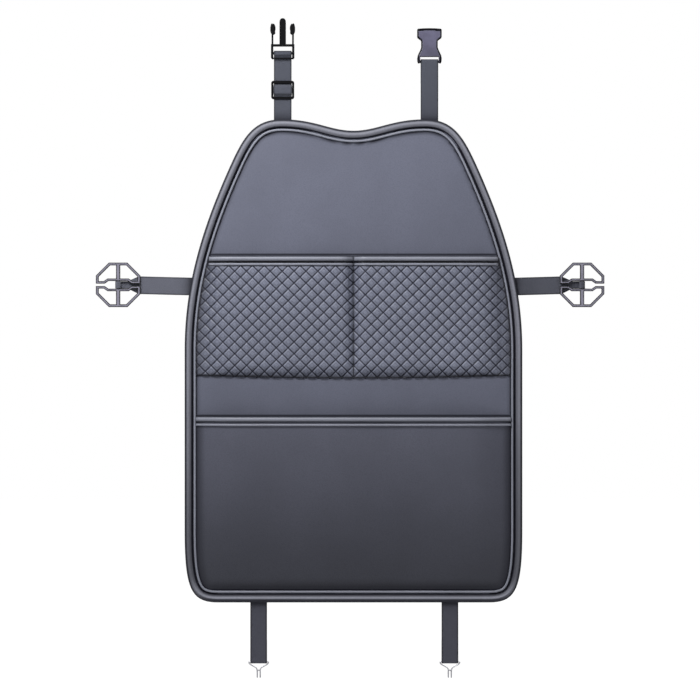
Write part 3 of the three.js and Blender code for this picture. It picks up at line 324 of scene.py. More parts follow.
def felt(name, colour):
    s = Shader(name)
    where = s.place()
    fibre = s.noise(s.place(scale=(1, 1, 0.35)), 1500, 5, 0.7)
    tone = s.two_tone(s.clamp(fibre, 0.3, 0.75), colour, 0.6, 1.35)
    tone = s.mix(s.clamp(s.noise(where, 14, 4), 0.3, 0.7) * 0.4, tone, tinted(colour, 0.8))
    normal = s.bump(fibre + s.cells(where, 420) * 0.4, 0.0004, 0.7)
    return s.finish(Base_Color=tone, Roughness=0.88 + fibre * 0.1, Specular_IOR_Level=0.2,
                    Sheen_Weight=0.3, Normal=normal)


# One webbing in four copies of different brightness: painted light and shade. The left side is
# lighter than the right, and the low straps are darker than the top ones.
top_webbing = webbing_weave("top webbing", linear(78, 81, 92), 24.7)
left_webbing = webbing_weave("left side webbing", linear(102, 104, 116), 24.9)
right_webbing = webbing_weave("right side webbing", linear(85, 87, 98), 24.9)
low_webbing = webbing_weave("low webbing", linear(75, 76, 87), 22.7)
back_felt = felt("back felt", linear(54, 54, 60))
print("weaves:", [m.name for m in bpy.data.materials if "webbing" in m.name])

# %% [markdown]
# The buckles are moulded plastic, with a fine even texture from the mould and a soft gloss. Each
# plastic has a second, darker finish for its sides: painted shade where they turn from the light.
# The hooks are steel wire with drawing marks.


# %% Plastic and wire
# The socket is darker at its lower end, a painted shade, in the same terms as the leathers.
SOCKET_PAINTED_SHADE = (0.402, 0.462, 0.42, 0.9)


def plastic(name, colour, roughness, coat, shine, foot=None):
    s = Shader(name)
    where = s.place()
    broad = s.noise(where, 70, 3)
    tone = s.two_tone(s.clamp(broad, 0.3, 0.7), colour, 0.88, 1.12)
    if foot:
        # Painted shade: darker lower down, and along the border that the attribute marks.
        tone = s.mix(s.clamp(s.part(where, "Z"), *foot), BLACK, tone)
        tone = s.mix(s.seam(), tone, linear(6, 6, 10))
    normal = s.bump(s.noise(where, 1800, 2), 0.00006, 0.6)
    return s.finish(Base_Color=tone, Roughness=roughness + (broad - 0.5) * 0.12,
                    Specular_IOR_Level=shine, Coat_Weight=coat, Coat_Roughness=0.12, Normal=normal)


def wire(name):
    s = Shader(name)
    mark = s.noise(s.place(scale=(1, 1, 0.15)), 2400, 3)
    broad = s.noise(s.place(), 160, 3)
    tone = s.mix(broad, linear(150, 150, 156), linear(196, 196, 202))
    return s.finish(Base_Color=tone, Metallic=1.0, Roughness=0.24 + mark * 0.2,
                    Normal=s.bump(mark, 0.00004, 0.6))


# Each edge finish is a darker copy of its plastic: painted shade for the sides.
black_plastic = plastic("black plastic", linear(8, 8, 11), 0.55, 0.0, 0.06)
black_edge = plastic("black plastic edge", linear(3, 3, 5), 0.6, 0.0, 0.05)
grey_plastic = plastic("grey plastic", linear(94, 92, 116), 0.3, 0.1, 0.4, SOCKET_PAINTED_SHADE)
grey_edge = plastic("grey plastic edge", linear(8, 8, 13), 0.6, 0.0, 0.06)
anchor_plastic = plastic("anchor plastic", linear(132, 130, 146), 0.36, 0.1, 0.4)
anchor_edge = plastic("anchor plastic edge", linear(50, 50, 52), 0.6, 0.0, 0.1)
steel_wire = wire("steel wire")
print("plastics:", [m.name for m in bpy.data.materials if "plastic" in m.name])

# %% [markdown]
# Every swept or stretched piece starts as one flat grid, made by an operator. Each of its points
# is then put where its two numbers say, such as along the outline and round a section. That keeps
# the faces even and gives the piece a map for patterns. The last step names the piece, puts its
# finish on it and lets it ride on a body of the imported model.


# %% Making and finishing pieces
def at(x, depth, z):
    """A point in millimetres, with its depth in front of the back, as the model's own metres."""
    return Vector((x * MM, -depth * MM, z * MM))


def finished(bm, name, body, slot, *materials, stands_for):
    """Makes the piece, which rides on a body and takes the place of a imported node."""
    mesh = bpy.data.meshes.new(name)
    bm.to_mesh(mesh)
    bm.free()
    mesh.shade_smooth()
    obj = in_scene(name, mesh)
    for material in materials:
        mesh.materials.append(material)
    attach(obj, body)
    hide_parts(*stands_for)
    print(f"{name}: {len(mesh.polygons)} faces")
    return obj


def grid(across, along, place, seam=lambda u, v: 0.0):
    """A flat grid. Its points go to place(u, v), u and v from 0 to 1, and carry seam(u, v)."""
    bm = bmesh.new()
    bmesh.ops.create_grid(bm, x_segments=across, y_segments=along, size=0.5)
    layer = bm.loops.layers.uv.new("UVMap")
    for face in bm.faces:
        for loop in face.loops:
            loop[layer].uv = (loop.vert.co.x + 0.5, loop.vert.co.y + 0.5)
    depth = bm.verts.layers.float.new("seam")
    for vert in bm.verts:
        u, v = vert.co.x + 0.5, vert.co.y + 0.5
        vert[depth] = seam(u, v)
        vert.co = place(u, v)
    return bm


def swept(stations, section, place, closed_path, seam=None):
    """A closed section carried along stations: place(station, section point) gives each point."""
    count, sides = len(stations), len(section)
    steps = count if closed_path else count - 1

    def pick(u, v):
        return stations[round(u * steps) % count], section[round(v * sides) % sides]

    bm = grid(steps, sides, lambda u, v: place(*pick(u, v)),
              lambda u, v: seam(*pick(u, v)) if seam else 0.0)
    bmesh.ops.remove_doubles(bm, verts=bm.verts, dist=1e-7)
    if not closed_path:
        bmesh.ops.holes_fill(bm, edges=[e for e in bm.edges if e.is_boundary], sides=0)
    bmesh.ops.recalc_face_normals(bm, faces=bm.faces)
    return bm


def rounded(points):
    """Cuts the corners of a closed outline twice, which rounds it."""
    for _ in range(2):
        cut = []
        for i, (a, b) in enumerate(points):
            c, d = points[(i + 1) % len(points)]
            cut += [(0.75 * a + 0.25 * c, 0.75 * b + 0.25 * d),
                    (0.25 * a + 0.75 * c, 0.25 * b + 0.75 * d)]
        points = cut
    return points


def unit(value):
    """Held between 0 and 1."""
    return min(max(value, 0), 1)


def step(value, low, high):
    """0 below low, 1 above high and smooth between them."""
    t = unit((value - low) / (high - low))
    return t * t * (3 - 2 * t)


def facing_front(bm):
    if sum((f.normal.y * f.calc_area() for f in bm.faces), 0.0) > 0:
        bmesh.ops.reverse_faces(bm, faces=bm.faces)
    return bm


def thickened(obj, thickness):
    wall = obj.modifiers.new("thickness", "SOLIDIFY")
    wall.thickness, wall.offset = thickness, -1.0
    return obj


print("piece helpers ready")

# %% [markdown]
# The outline of the body is two mirrored runs of smooth curves: a flat bottom, round lower corners,
# upright sides that lean in towards the shoulders, two peaks and a dip between them. The edge roll,
# the bead and the pockets all follow it, so it is drawn once, as even stations with the direction
# that points outward.

# %% Outline of the body
HALF_WIDTH, BOTTOM_Z, SIDE_LOW, SIDE_HIGH = 236.6, -337.4, -237, 15
CORNER_X, SHOULDER, PEAK, DIP_Z = 190, (174.5, 268.7), (100.5, 338), 322
LEAN = (math.sin(0.42), math.cos(0.42))


def outline_runs():
    """The right half, from the middle of the bottom to the middle of the top, as Bezier runs."""
    wide, bottom, (sx, sz), (px, pz) = HALF_WIDTH, BOTTOM_Z, SHOULDER, PEAK
    rise = 0.362 * (sz - SIDE_HIGH)
    turn = math.hypot(sx - px, pz - sz)
    return [
        [(0, bottom), (60, bottom), (130, bottom), (CORNER_X, bottom)],
        [(CORNER_X, bottom), (CORNER_X + 0.8 * (wide - CORNER_X), bottom),
         (wide, SIDE_LOW + 0.82 * (bottom - SIDE_LOW)), (wide, SIDE_LOW)],
        [(wide, SIDE_LOW), (wide, -150), (wide, -70), (wide, SIDE_HIGH)],
        [(wide, SIDE_HIGH), (wide, SIDE_HIGH + rise),
         (sx + rise * LEAN[0], sz - rise * LEAN[1]), (sx, sz)],
        [(sx, sz), (sx - 0.467 * turn * LEAN[0], sz + 0.467 * turn * LEAN[1]),
         (px + 0.4 * turn, pz), (px, pz)],
        [(px, pz), (px * 0.534, pz), (px * 0.325, DIP_Z), (0, DIP_Z)],
    ]


def even_stations(points, spacing):
    """Walks a closed line of points and puts even stations on it, with their outward side."""
    lengths = [(points[i] - points[i - 1]).length for i in range(1, len(points))]
    count = round(sum(lengths) / spacing)
    gap, walked, i, found = sum(lengths) / count, 0.0, 0, []
    for k in range(count):
        while walked + lengths[i] < k * gap:
            walked += lengths[i]
            i += 1
        share = (k * gap - walked) / lengths[i]
        found.append(points[i].lerp(points[i + 1], share))
    out = []
    for k, p in enumerate(found):
        along = (found[(k + 1) % count] - found[k - 1]).normalized()
        out.append((p.x, p.y, along.y, -along.x))
    return out


SPACING = 5.0
right_half = []
for run in outline_runs():
    knots = [Vector((x, z, 0)) for x, z in run]
    right_half += interpolate_bezier(*knots, 48)[1 if right_half else 0:]
left_half = [Vector((-p.x, p.y, 0)) for p in reversed(right_half[1:-1])]
OUTLINE = even_stations(right_half + left_half + [right_half[0]], SPACING)
print("stations:", len(OUTLINE), "round", round(len(OUTLINE) * SPACING), "mm")


@lru_cache(maxsize=None)
def inside(inset):
    """The outline, moved in by inset, as points."""
    return [(x - nx * inset, z - nz * inset) for x, z, nx, nz in OUTLINE]


SEAM_INSET, BEAD_INNER = 16, 15.5


@lru_cache(maxsize=None)
def reach(z, inset=SEAM_INSET):
    """How far the inset outline goes out at height z, below the shoulders."""
    points = [p for p in inside(inset) if p[0] >= 0 and p[1] < 300]
    best = 0
    for (x0, z0), (x1, z1) in zip(points, points[1:]):
        if min(z0, z1) <= z <= max(z0, z1) and abs(z1 - z0) > 1e-9:
            best = max(best, x0 + (x1 - x0) * (z - z0) / (z1 - z0))
    return best or CORNER_X


# %% [markdown]
# The rolled edge is a strip of leather folded over the border of the body, so its section is a
# full, rounded hook: a thin leaf behind, a wide crown in front, and a lip that turns back down
# on the inside. It is carried round the whole outline. Its attribute of painted shade is high
# where the roll goes into shadow, which leaves the crown as a painted highlight.

# %% Rolled edge and bead
ROLL = rounded([(9.8, 0), (2, 0), (0, 2.4), (0, 7.6), (1.1, 9.9), (3.4, 11.1), (6.2, 11.3),
                (8.9, 10.4), (10.9, 8.4), (10.9, 7.2), (5.5, 7.2), (5.5, 0.9), (9.8, 0.9)])


def on_outline(station, point):
    x, z, nx, nz = station
    inset, depth = point
    inset -= (0.7 if nz > 0 else 1.0) * abs(nz) * max(0, 1 - inset / 8)
    wave = 0.12 * noise.noise(Vector((x * 0.05, z * 0.05, depth * 0.2)))
    return at(x - nx * inset, depth + wave, z - nz * inset)


def roll_shade(station, point):
    """Painted shade: lip, outside, behind, and further round where the outline looks down."""
    inset, depth = point
    low = max(-station[3], 0)
    return max(0.45 * step(inset, 4.5, 8), step(inset, 7.8, 10), step(-inset, -4.0, -2.0) * 0.93,
               step(-inset, -6.6, -3.6) * 0.95 * low, step(inset, 5.8, 8.8) * 0.85 * low,
               step(-depth, -6, -3))


def cord_section(x, y, radius=1.6, sides=12):
    """A circle of points round x and y."""
    turns = [2 * math.pi * k / sides for k in range(sides)]
    return [(x + radius * math.cos(a), y + radius * math.sin(a)) for a in turns]


finished(swept(OUTLINE, ROLL, on_outline, True, roll_shade),
         "rolled_edge", "organizer", "leather", leather_roll, stands_for=["edge_binding"])
finished(swept(OUTLINE, cord_section(14.3, 9.1), on_outline, True),
         "edge_bead", "organizer", "piping", leather_bead, stands_for=["edge_piping"])

# %% [markdown]
# The face is one sheet of leather pulled over the board. It is not quite flat: it sinks into the
# seam beside the bead and rises a little over the padding. Every column of the grid runs from the
# bottom of the outline to its top, so the sheet follows the wavy upper edge.

# %% Leather face
FACE_INSET, FACE_DEPTH, LEATHER_WALL = 5.8, 6.9, 1.3
FACE_REACH = HALF_WIDTH - FACE_INSET - 0.2
FACE_POINTS = inside(FACE_INSET)
FACE_EDGES = list(zip(FACE_POINTS, FACE_POINTS[1:] + FACE_POINTS[:1]))
BEAD_LINE = kdtree.KDTree(len(OUTLINE))
for i, (x, z) in enumerate(inside(BEAD_INNER)):
    BEAD_LINE.insert((x, z, 0), i)
BEAD_LINE.balance()


def face_span(x):
    """Lowest and highest point of the sheet at x."""
    zs = [z0 + (z1 - z0) * (x - x0) / (x1 - x0) for (x0, z0), (x1, z1) in FACE_EDGES
          if min(x0, x1) <= x <= max(x0, x1) and abs(x1 - x0) > 1e-9]
    return min(zs), max(zs)


def from_bead(x, z):
    """Distance to the inner side of the bead."""
    return BEAD_LINE.find((x, z, 0))[2]


def beside_seam(gap, tail=0.58, far=15):
    """Painted shade of leather that turns down into a stitched join, at a distance from it."""
    return max(1 - step(gap, 1.4, 4.6), tail * (1 - step(gap, 3, far)))


def face_place(u, v):
    share = math.sin((u - 0.5) * math.pi) * 0.45 + (u - 0.5) * 1.1
    x = max(-1, min(1, share)) * FACE_REACH
    low, high = face_span(x)
    return at(x, FACE_DEPTH, low + (high - low) * v)


face_bm = facing_front(grid(130, 160, face_place))
face_painted_shade = face_bm.verts.layers.float["seam"]
for vert in face_bm.verts:
    x, z = vert.co.x / MM, vert.co.z / MM
    gap = from_bead(x, z)
    inner = abs(x) < reach(min(z, 299), BEAD_INNER) and z < DIP_Z
    rise = 1 - math.exp(-gap / 14) if inner else 0
    wave = noise.noise(Vector((x * 0.011, z * 0.011, 3.1)))
    vert.co.y -= MM * rise * (0.9 + 0.35 * wave)
    # Painted shade beside the bead, and full painted shade outside the bead's inner line.
    vert[face_painted_shade] = beside_seam(gap, 0.25, 8) if inner else 1.0
leather_face_piece = finished(face_bm, "leather_face", "organizer", "leather", leather_face,
                              stands_for=["front_panel"])
thickened(leather_face_piece, 1.2 * MM)

back_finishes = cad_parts["back_panel"].data.materials
back_finishes.clear()
back_finishes.append(back_felt)

# %% [markdown]
# Both pockets are sewn to the face at the sides and the foot and stand away from it at the top. A
# ramp that starts steep and flattens out gives that swell. The upper pocket is also sewn down
# along its middle, which makes two pockets of it.

# %% Shape of the pockets
def ramp(distance, length):
    """From 0 to 1 over a length, steep at first."""
    return math.sin(unit(distance / length) * math.pi / 2)


POCKET_BACK = 7.2
UPPER_FOOT, UPPER_SIDE = -21, 207.5


def upper_share(x):
    return ramp(UPPER_SIDE - abs(x), 35) * ramp(abs(x), 16)


def upper_depth(x, z):
    """Front of the upper pocket along its stitching."""
    rise = max(z - UPPER_FOOT, 0)
    bulge = 7 + 5 * min(rise / 154, 1)
    return POCKET_BACK + 1.4 + ramp(rise, 16) * (1.1 + bulge * upper_share(x))


LOWER_FOOT, LOWER_HALF = -321.4, 220.6


def lower_reach(z):
    return reach(max(z, LOWER_FOOT + 0.5))


def lower_share(x, z):
    return ramp(LOWER_HALF - abs(x) * LOWER_HALF / lower_reach(z), 60)


def lower_depth(x, z):
    """Front of the lower pocket."""
    rise = max(z - LOWER_FOOT, 0)
    swell = 0.25 * ramp(rise, 18) + 0.75 * ramp(rise, 237.4)
    return POCKET_BACK + 1.4 + ramp(rise, 18) * 1.1 + 20 * swell * lower_share(x, z)


print("pockets stand", round(upper_depth(60, 133)), "and", round(lower_depth(0, -84)), "mm out")

# %% [markdown]
# The quilting is padded leather held down by two crossing sets of stitches. A grid in the
# lattice's own numbers has eight faces along each side of a diamond. It is sheared into place,
# trimmed along the seams with planes, and each diamond is raised into a pillow.

# %% Quilted pocket
DIAMOND = Vector((16.6, 16.45))
CROSSING_Z = 59.5
CUTS = 8
PAD_RISE = 2.0


def pillow(s):
    """Height of a pad at s diamonds from its nearest stitch line."""
    t = unit(abs(s) / 0.3)
    return math.sqrt(1 - (1 - t) ** 2)


def lattice_to_place(u, v):
    """Lattice numbers to x and z: each set of stitches runs along one diagonal."""
    return (u - v) * DIAMOND.x / 2, CROSSING_Z + (u + v) * DIAMOND.y / 2


REACH_CELLS = 22
LOWEST, HIGHEST, WIDEST = -34, 150, 226
quilt_bm = bmesh.new()
bmesh.ops.create_grid(quilt_bm, x_segments=2 * REACH_CELLS * CUTS,
                      y_segments=2 * REACH_CELLS * CUTS, size=REACH_CELLS)
doomed = []
for vert in quilt_bm.verts:
    x, z = lattice_to_place(*vert.co.xy)
    if not LOWEST < z < HIGHEST or abs(x) > WIDEST:
        doomed.append(vert)
bmesh.ops.delete(quilt_bm, geom=doomed, context="VERTS")
quilt_map = quilt_bm.loops.layers.uv.new("UVMap")
quilt_painted_shade = quilt_bm.verts.layers.float.new("seam")
for face in quilt_bm.faces:
    for loop in face.loops:
        loop[quilt_map].uv = loop.vert.co.xy
for vert in quilt_bm.verts:
    x, z = lattice_to_place(*vert.co.xy)
    vert.co = (x, 0, z)


def trim(bm, x, z, nx, nz):
    geometry = bm.verts[:] + bm.edges[:] + bm.faces[:]
    bmesh.ops.bisect_plane(bm, geom=geometry, dist=1e-5, plane_co=(x, 0, z), plane_no=(nx, 0, nz),
                           clear_outer=True)


FOOT_SAG, FOOT_HALF = 3.2, 203


def upper_foot(x):
    """The foot of the upper pocket sags a little towards its middle."""
    return UPPER_FOOT - FOOT_SAG * (1 - (x / FOOT_HALF) ** 2)


trim(quilt_bm, 0, 145, 0, 1)
for x in (-200, -150, -90, -30, 30, 90, 150, 200):
    trim(quilt_bm, x, upper_foot(x), FOOT_SAG * 2 * x / FOOT_HALF ** 2, -1)
for z in (-10, 30, 50, 70, 90, 110, 130):
    lean = (reach(z + 3) - reach(z - 3)) / 6
    for sign in (1, -1):
        trim(quilt_bm, sign * reach(z), z, sign, -lean)
print("quilted grid:", len(quilt_bm.faces), "faces after trimming")

# %% [markdown]
# A stitched pad is not a perfect pillow: the leather is a little too large for it, so it bellies
# out and puckers towards the thread. Cloth does that by itself. The stitch lines and the rim are
# pinned, and a slight pressure behind the leather pushes the pads out. Each point may move only a
# short way, and the result is written into the mesh.


# %% Puff the pads with cloth
def middle_seam(x):
    """Painted shade along the stitching that divides the upper pocket."""
    return math.exp(-(x / 1.35) ** 2)


def stitched(x, z):
    """Lattice distance to the nearest stitch line, in diamonds."""
    u = ((z - CROSSING_Z) / (DIAMOND.y / 2) + x / (DIAMOND.x / 2)) / 2
    v = ((z - CROSSING_Z) / (DIAMOND.y / 2) - x / (DIAMOND.x / 2)) / 2
    return abs(u - round(u)), abs(v - round(v))


for vert in quilt_bm.verts:
    x, z = vert.co.x, vert.co.z
    a, b = stitched(x, z)
    gap = reach(min(z, 140)) - abs(x)
    side_gap = max(gap, 0)
    rise = PAD_RISE * pillow(a) * pillow(b) * min(1, 0.5 + gap / 35) * unit((133.5 - z) / 3)
    # Painted shade at the sides and the foot, along the middle stitching and under the hem.
    vert[quilt_painted_shade] = max(0.65 * math.exp(-side_gap / 13), beside_seam(side_gap),
                            beside_seam(z - upper_foot(x), 0.3, 8), middle_seam(x),
                            step(z, 132.2, 134))
    vert.co = at(x, upper_depth(x, z) + rise, z)
facing_front(quilt_bm)
quilt = finished(quilt_bm, "quilted_leather_pocket", "organizer", "quilting", quilt_leather,
                 stands_for=["quilted_pocket"])


def puffed(obj, pins, pressure, cap, frames=12):
    """Runs cloth with some points pinned, and keeps the shape that it ends in."""
    rest = [v.co.copy() for v in obj.data.vertices]
    group = obj.vertex_groups.new(name="stitches")
    group.add(pins, 1.0, "REPLACE")
    cloth = obj.modifiers.new("cloth", "CLOTH")
    settings = cloth.settings
    settings.vertex_group_mass = group.name
    settings.quality = 4
    settings.mass = 0.2
    settings.tension_stiffness = settings.compression_stiffness = 12
    settings.shear_stiffness, settings.bending_stiffness = 6, 0.4
    settings.use_pressure = True
    settings.uniform_pressure_force = pressure
    settings.shrink_min = -0.04
    settings.effector_weights.gravity = 0
    cloth.collision_settings.use_collision = False
    cloth.collision_settings.use_self_collision = False
    cloth.point_cache.frame_start, cloth.point_cache.frame_end = 1, frames
    for number in range(1, frames + 1):
        scene.frame_set(number)
    posed = obj.evaluated_get(bpy.context.evaluated_depsgraph_get())
    ended = [v.co.copy() for v in posed.data.vertices]
    obj.modifiers.remove(cloth)
    obj.vertex_groups.remove(group)
    scene.frame_set(1)
    moved = 0.0
    for vert, start, end in zip(obj.data.vertices, rest, ended):
        way = end - start
        if way.length > cap:
            way = way.normalized() * cap
        moved = max(moved, way.length)
        vert.co = start + way
    print(f"{obj.name}: cloth moved points up to {moved / MM:.1f} mm")


bm = bmesh.new()
bm.from_mesh(quilt.data)
rim = {v.index for v in bm.verts if v.is_boundary}
bm.free()
pins = [v.index for v in quilt.data.vertices
        if min(stitched(v.co.x / MM, v.co.z / MM)) < 0.02 or v.index in rim]
puffed(quilt, pins, 0.6, 1.2 * MM)
thickened(quilt, LEATHER_WALL * MM)

# %% [markdown]
# The lower pocket is a single plain sheet. It is widest at its open top and turns down sharply into
# the seam at the foot, and a little slack in the leather makes it uneven.

# %% Lower pocket
LOWER_TOP = -79


def lower_place(u, v):
    share = math.sin((u - 0.5) * math.pi) * 0.4 + (u - 0.5) * 1.2
    share = max(-1, min(1, share))
    rise = v ** 1.6
    z = LOWER_FOOT + (LOWER_TOP - LOWER_FOOT) * rise
    x = share * lower_reach(z)
    slack = 0.5 * noise.noise(Vector((x * 0.012, z * 0.012, 7.7)))
    return at(x, lower_depth(x, z) + slack * ramp(220 - abs(x), 50) * ramp(v, 0.3), z)


lower_bm = facing_front(grid(110, 84, lower_place))
lower_shade = lower_bm.verts.layers.float["seam"]
for vert in lower_bm.verts:
    x, z = vert.co.x / MM, vert.co.z / MM
    side_gap = lower_reach(z) - abs(x)
    # Painted shade beside the sides and the foot.
    vert[lower_shade] = max(beside_seam(side_gap), beside_seam(z - LOWER_FOOT))
lower = finished(lower_bm, "lower_leather_pocket", "organizer", "leather", leather_pocket,
                 stands_for=["lower_pocket"])
thickened(lower, LEATHER_WALL * MM)

# %% [markdown]
# The open edge of each pocket is bound: a strip is folded over it, so it shows as a round roll with
# a thin corded bead sewn just below. Both follow the swell of the pocket from side to side.

# %% Pocket hems
HEM = rounded([(-1.1, 0), (-1.1, 6.4), (1.3, 7.8), (3.9, 6.3), (4.8, 3.4), (3.4, 0), (1.7, 0),
               (1.7, 3.4), (1.7, 5.3), (0.85, 5.3), (-0.3, 5.3), (-0.3, 0)])
CORD = cord_section(3.45, -4.2)
HEM_STEP = 4.0


def hem_stations(side):
    count = round(2 * side / HEM_STEP)
    return [-side + 2 * side * k / count for k in range(count + 1)]


def hem_place(swell, z):
    """Where a hem's points go: in front of the pocket's swell, and from height z up."""
    return lambda x, point: at(x, POCKET_BACK + 1.1 + swell(x) + point[0], z + point[1])


# Painted shade on a hem: along its top edge, its lower half and behind, which leaves a painted
# highlight on the crown.
def hem_shade(_, point):
    depth, height = point
    return max(0.4 * step(-height, -4.4, -1.6), step(-height, -2, -0.2),
               step(height, 5.5, 6.9) * 0.97, step(-depth, 0.2, 1.0))


# Painted shade where the middle stitching pulls the upper hem and bead down.
def upper_cord_shade(x, _):
    return 0.9 * middle_seam(x)


def upper_hem_shade(x, point):
    return max(hem_shade(x, point), upper_cord_shade(x, point))


upper_hem_place = hem_place(lambda x: 12 * upper_share(x), 139.4)
lower_hem_place = hem_place(lambda x: 20 * ramp(LOWER_HALF - abs(x), 60), -85)
# The upper hem has more stations at its middle, where the seam crosses it.
close = {-3.0, -2.0, -1.2, -0.6, 0.0, 0.6, 1.2, 2.0, 3.0}
upper_x = sorted(set(hem_stations(reach(147.7))) | close)
lower_x = hem_stations(LOWER_HALF)
for pocket, node, xs, place, shades in (
        ("upper", "quilted_pocket", upper_x, upper_hem_place, (upper_hem_shade, upper_cord_shade)),
        ("lower", "lower_pocket", lower_x, lower_hem_place, (hem_shade, None))):
    finished(swept(xs, HEM, place, False, shades[0]), f"{pocket}_hem_roll", "organizer", "leather",
             leather_hem, stands_for=[f"{node}_hem"])
    finished(swept(xs, CORD, place, False, shades[1]), f"{pocket}_hem_bead", "organizer", "piping",
             leather_bead, stands_for=[f"{node}_cord"])

# %% [markdown]
# A strap is one flat ribbon that leaves the body, runs through its fitting and comes back. Its
# route is drawn from the side as depth and height, out of straight runs, gentle shifts from one
# depth to another and arcs round the bars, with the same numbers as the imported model.


# %% Strap routes
class Route:
    """A line seen from the side: x is the depth in front of the back, and y the height."""

    def __init__(self, depth, height):
        self.points = [Vector((depth, height))]

    def line(self, depth, height):
        self.points.append(Vector((depth, height)))

    def shift(self, start, end, depth):
        """Straight on to height start, then over to another depth by height end."""
        here, middle = self.points[-1].x, (start + end) / 2
        self.line(here, start)
        knots = ((here, start), (here, middle), (depth, middle), (depth, end))
        for p in interpolate_bezier(*[Vector((*k, 0)) for k in knots], 12)[1:]:
            self.line(p.x, p.y)

    def arc(self, depth, height, radius, start, end, steps=14):
        for k in range(steps + 1):
            angle = start + (end - start) * k / steps
            self.line(depth + radius * math.cos(angle), height + radius * math.sin(angle))

    def clean(self):
        kept = [self.points[0]]
        for p in self.points[1:]:
            gap = (p - kept[-1]).length
            if gap > 0.05:
                start, parts = kept[-1], math.ceil(gap / 2.5)
                kept += [start.lerp(p, k / parts) for k in range(1, parts + 1)]
        return kept


WEB, SEWN_DEPTH, SEWN, TAIL, BAR_DEPTH = 1.3, 4.75, 22, 30, 4
# A loop's radius: that of the bar, a gap of 0.4 mm and half of the webbing.
BUCKLE_LOOP, HOOK_LOOP, ANCHOR_LOOP = [bar + 0.4 + WEB / 2 for bar in (1.9, 0.9, 2.5)]
TOP_LEFT_X, TOP_RIGHT_X = -99.2, 106.4
LOW_X = (("left", -132.9), ("right", 135.1))
PLUG_BAR, SOCKET_BAR, SLIDER_Z = PEAK[1] + 93.3, PEAK[1] + 81.4, PEAK[1] + 41.8
HOOK_BAR, SIDE_Z, ANCHOR_Z = BOTTOM_Z - 84, 104.4, 106.7
ANCHOR_LEFT_X, ANCHOR_RIGHT_X = -HALF_WIDTH - 93.2, HALF_WIDTH + 83.7


def top_left_route():
    """Over the slider's middle bar, round the plug's bar and back to the slider's middle bar."""
    layer = 1.05 + WEB + 0.3
    over = 3.9 + 2 * WEB + 0.6 - WEB / 2 + 0.05
    low, high = SLIDER_Z - 13, SLIDER_Z + 13
    r = Route(SEWN_DEPTH, PEAK[1] - SEWN)
    r.shift(PEAK[1] + 8, low - 4, layer)
    r.shift(low + 4.1, SLIDER_Z - 3.3, over)
    r.shift(SLIDER_Z + 3.3, high - 4.1, layer)
    start = PLUG_BAR - 8.3
    away = math.hypot(BAR_DEPTH - layer, PLUG_BAR - start)
    angle = math.atan2(BAR_DEPTH - layer, PLUG_BAR - start) + math.asin(BUCKLE_LOOP / away)
    r.line(layer, start - 3)
    r.line(layer + 1.2 * math.sin(angle), start - 0.4)
    r.arc(BAR_DEPTH, PLUG_BAR, BUCKLE_LOOP, -angle, math.pi)
    tail, middle = BAR_DEPTH - BUCKLE_LOOP, (2.1 + 3.9) / 2
    r.arc(middle, SLIDER_Z - 1.95 - 0.45, middle - tail, math.pi, 2 * math.pi)
    r.line(2 * middle - tail, SLIDER_Z + 1)
    return r.clean()


def looped_route(sewn, start, end, bar, radius, way):
    """From the sewn end, forward between heights start and end, round the bar, and a tail back."""
    r = Route(SEWN_DEPTH, sewn)
    r.shift(start, end, BAR_DEPTH + radius)
    r.arc(BAR_DEPTH, bar, radius, 0, way * math.pi)
    r.line(BAR_DEPTH - radius, bar - way * TAIL)
    return r.clean()


top_right_route = looped_route(PEAK[1] - SEWN, PEAK[1] + 8, PEAK[1] + 45, SOCKET_BAR,
                               BUCKLE_LOOP, 1)
low_route = looped_route(BOTTOM_Z + SEWN, BOTTOM_Z - 8, BOTTOM_Z - 30, HOOK_BAR, HOOK_LOOP, -1)
GATHERED, SIDE_DEPTH = 12.8, 1.35


def side_route(out):
    """Runs out sideways to the anchor's bar at out. GATHERED before it, the webbing is narrow."""
    edge = reach(SIDE_Z, 0)
    r = Route(SEWN_DEPTH, edge - SEWN)
    r.shift(edge + 6, edge + 36, SIDE_DEPTH)
    for before in (28.8, 24, 18, GATHERED):
        r.line(SIDE_DEPTH, out - before)
    r.arc(SIDE_DEPTH + ANCHOR_LOOP, out, ANCHOR_LOOP, math.pi, -0.75 * math.pi + 0.25)
    return r.clean()


print("strap routes:", len(top_left_route()), len(top_right_route), len(low_route), "points")

# %% [markdown]
# The ribbon has rounded edges and is a hair thicker at the selvage. Its map counts millimetres,
# across from the middle and along from the sewn end, so all straps have threads of the same size.


# %% Straps
TOP_WIDTH, LOW_WIDTH, SIDE_WIDTH, GATHERED_WIDTH, THIN = 24.7, 23.5, 24.9, 10.3, WEB / 2
RIBBON = [(-0.5, 0), (-0.488, THIN * 0.8), (-0.45, THIN), (-0.25, THIN * 0.96), (0, THIN * 0.94),
          (0.25, THIN * 0.96), (0.45, THIN), (0.488, THIN * 0.8), (0.5, 0)]
RIBBON += [(a, -b) for a, b in reversed(RIBBON[1:-1])]


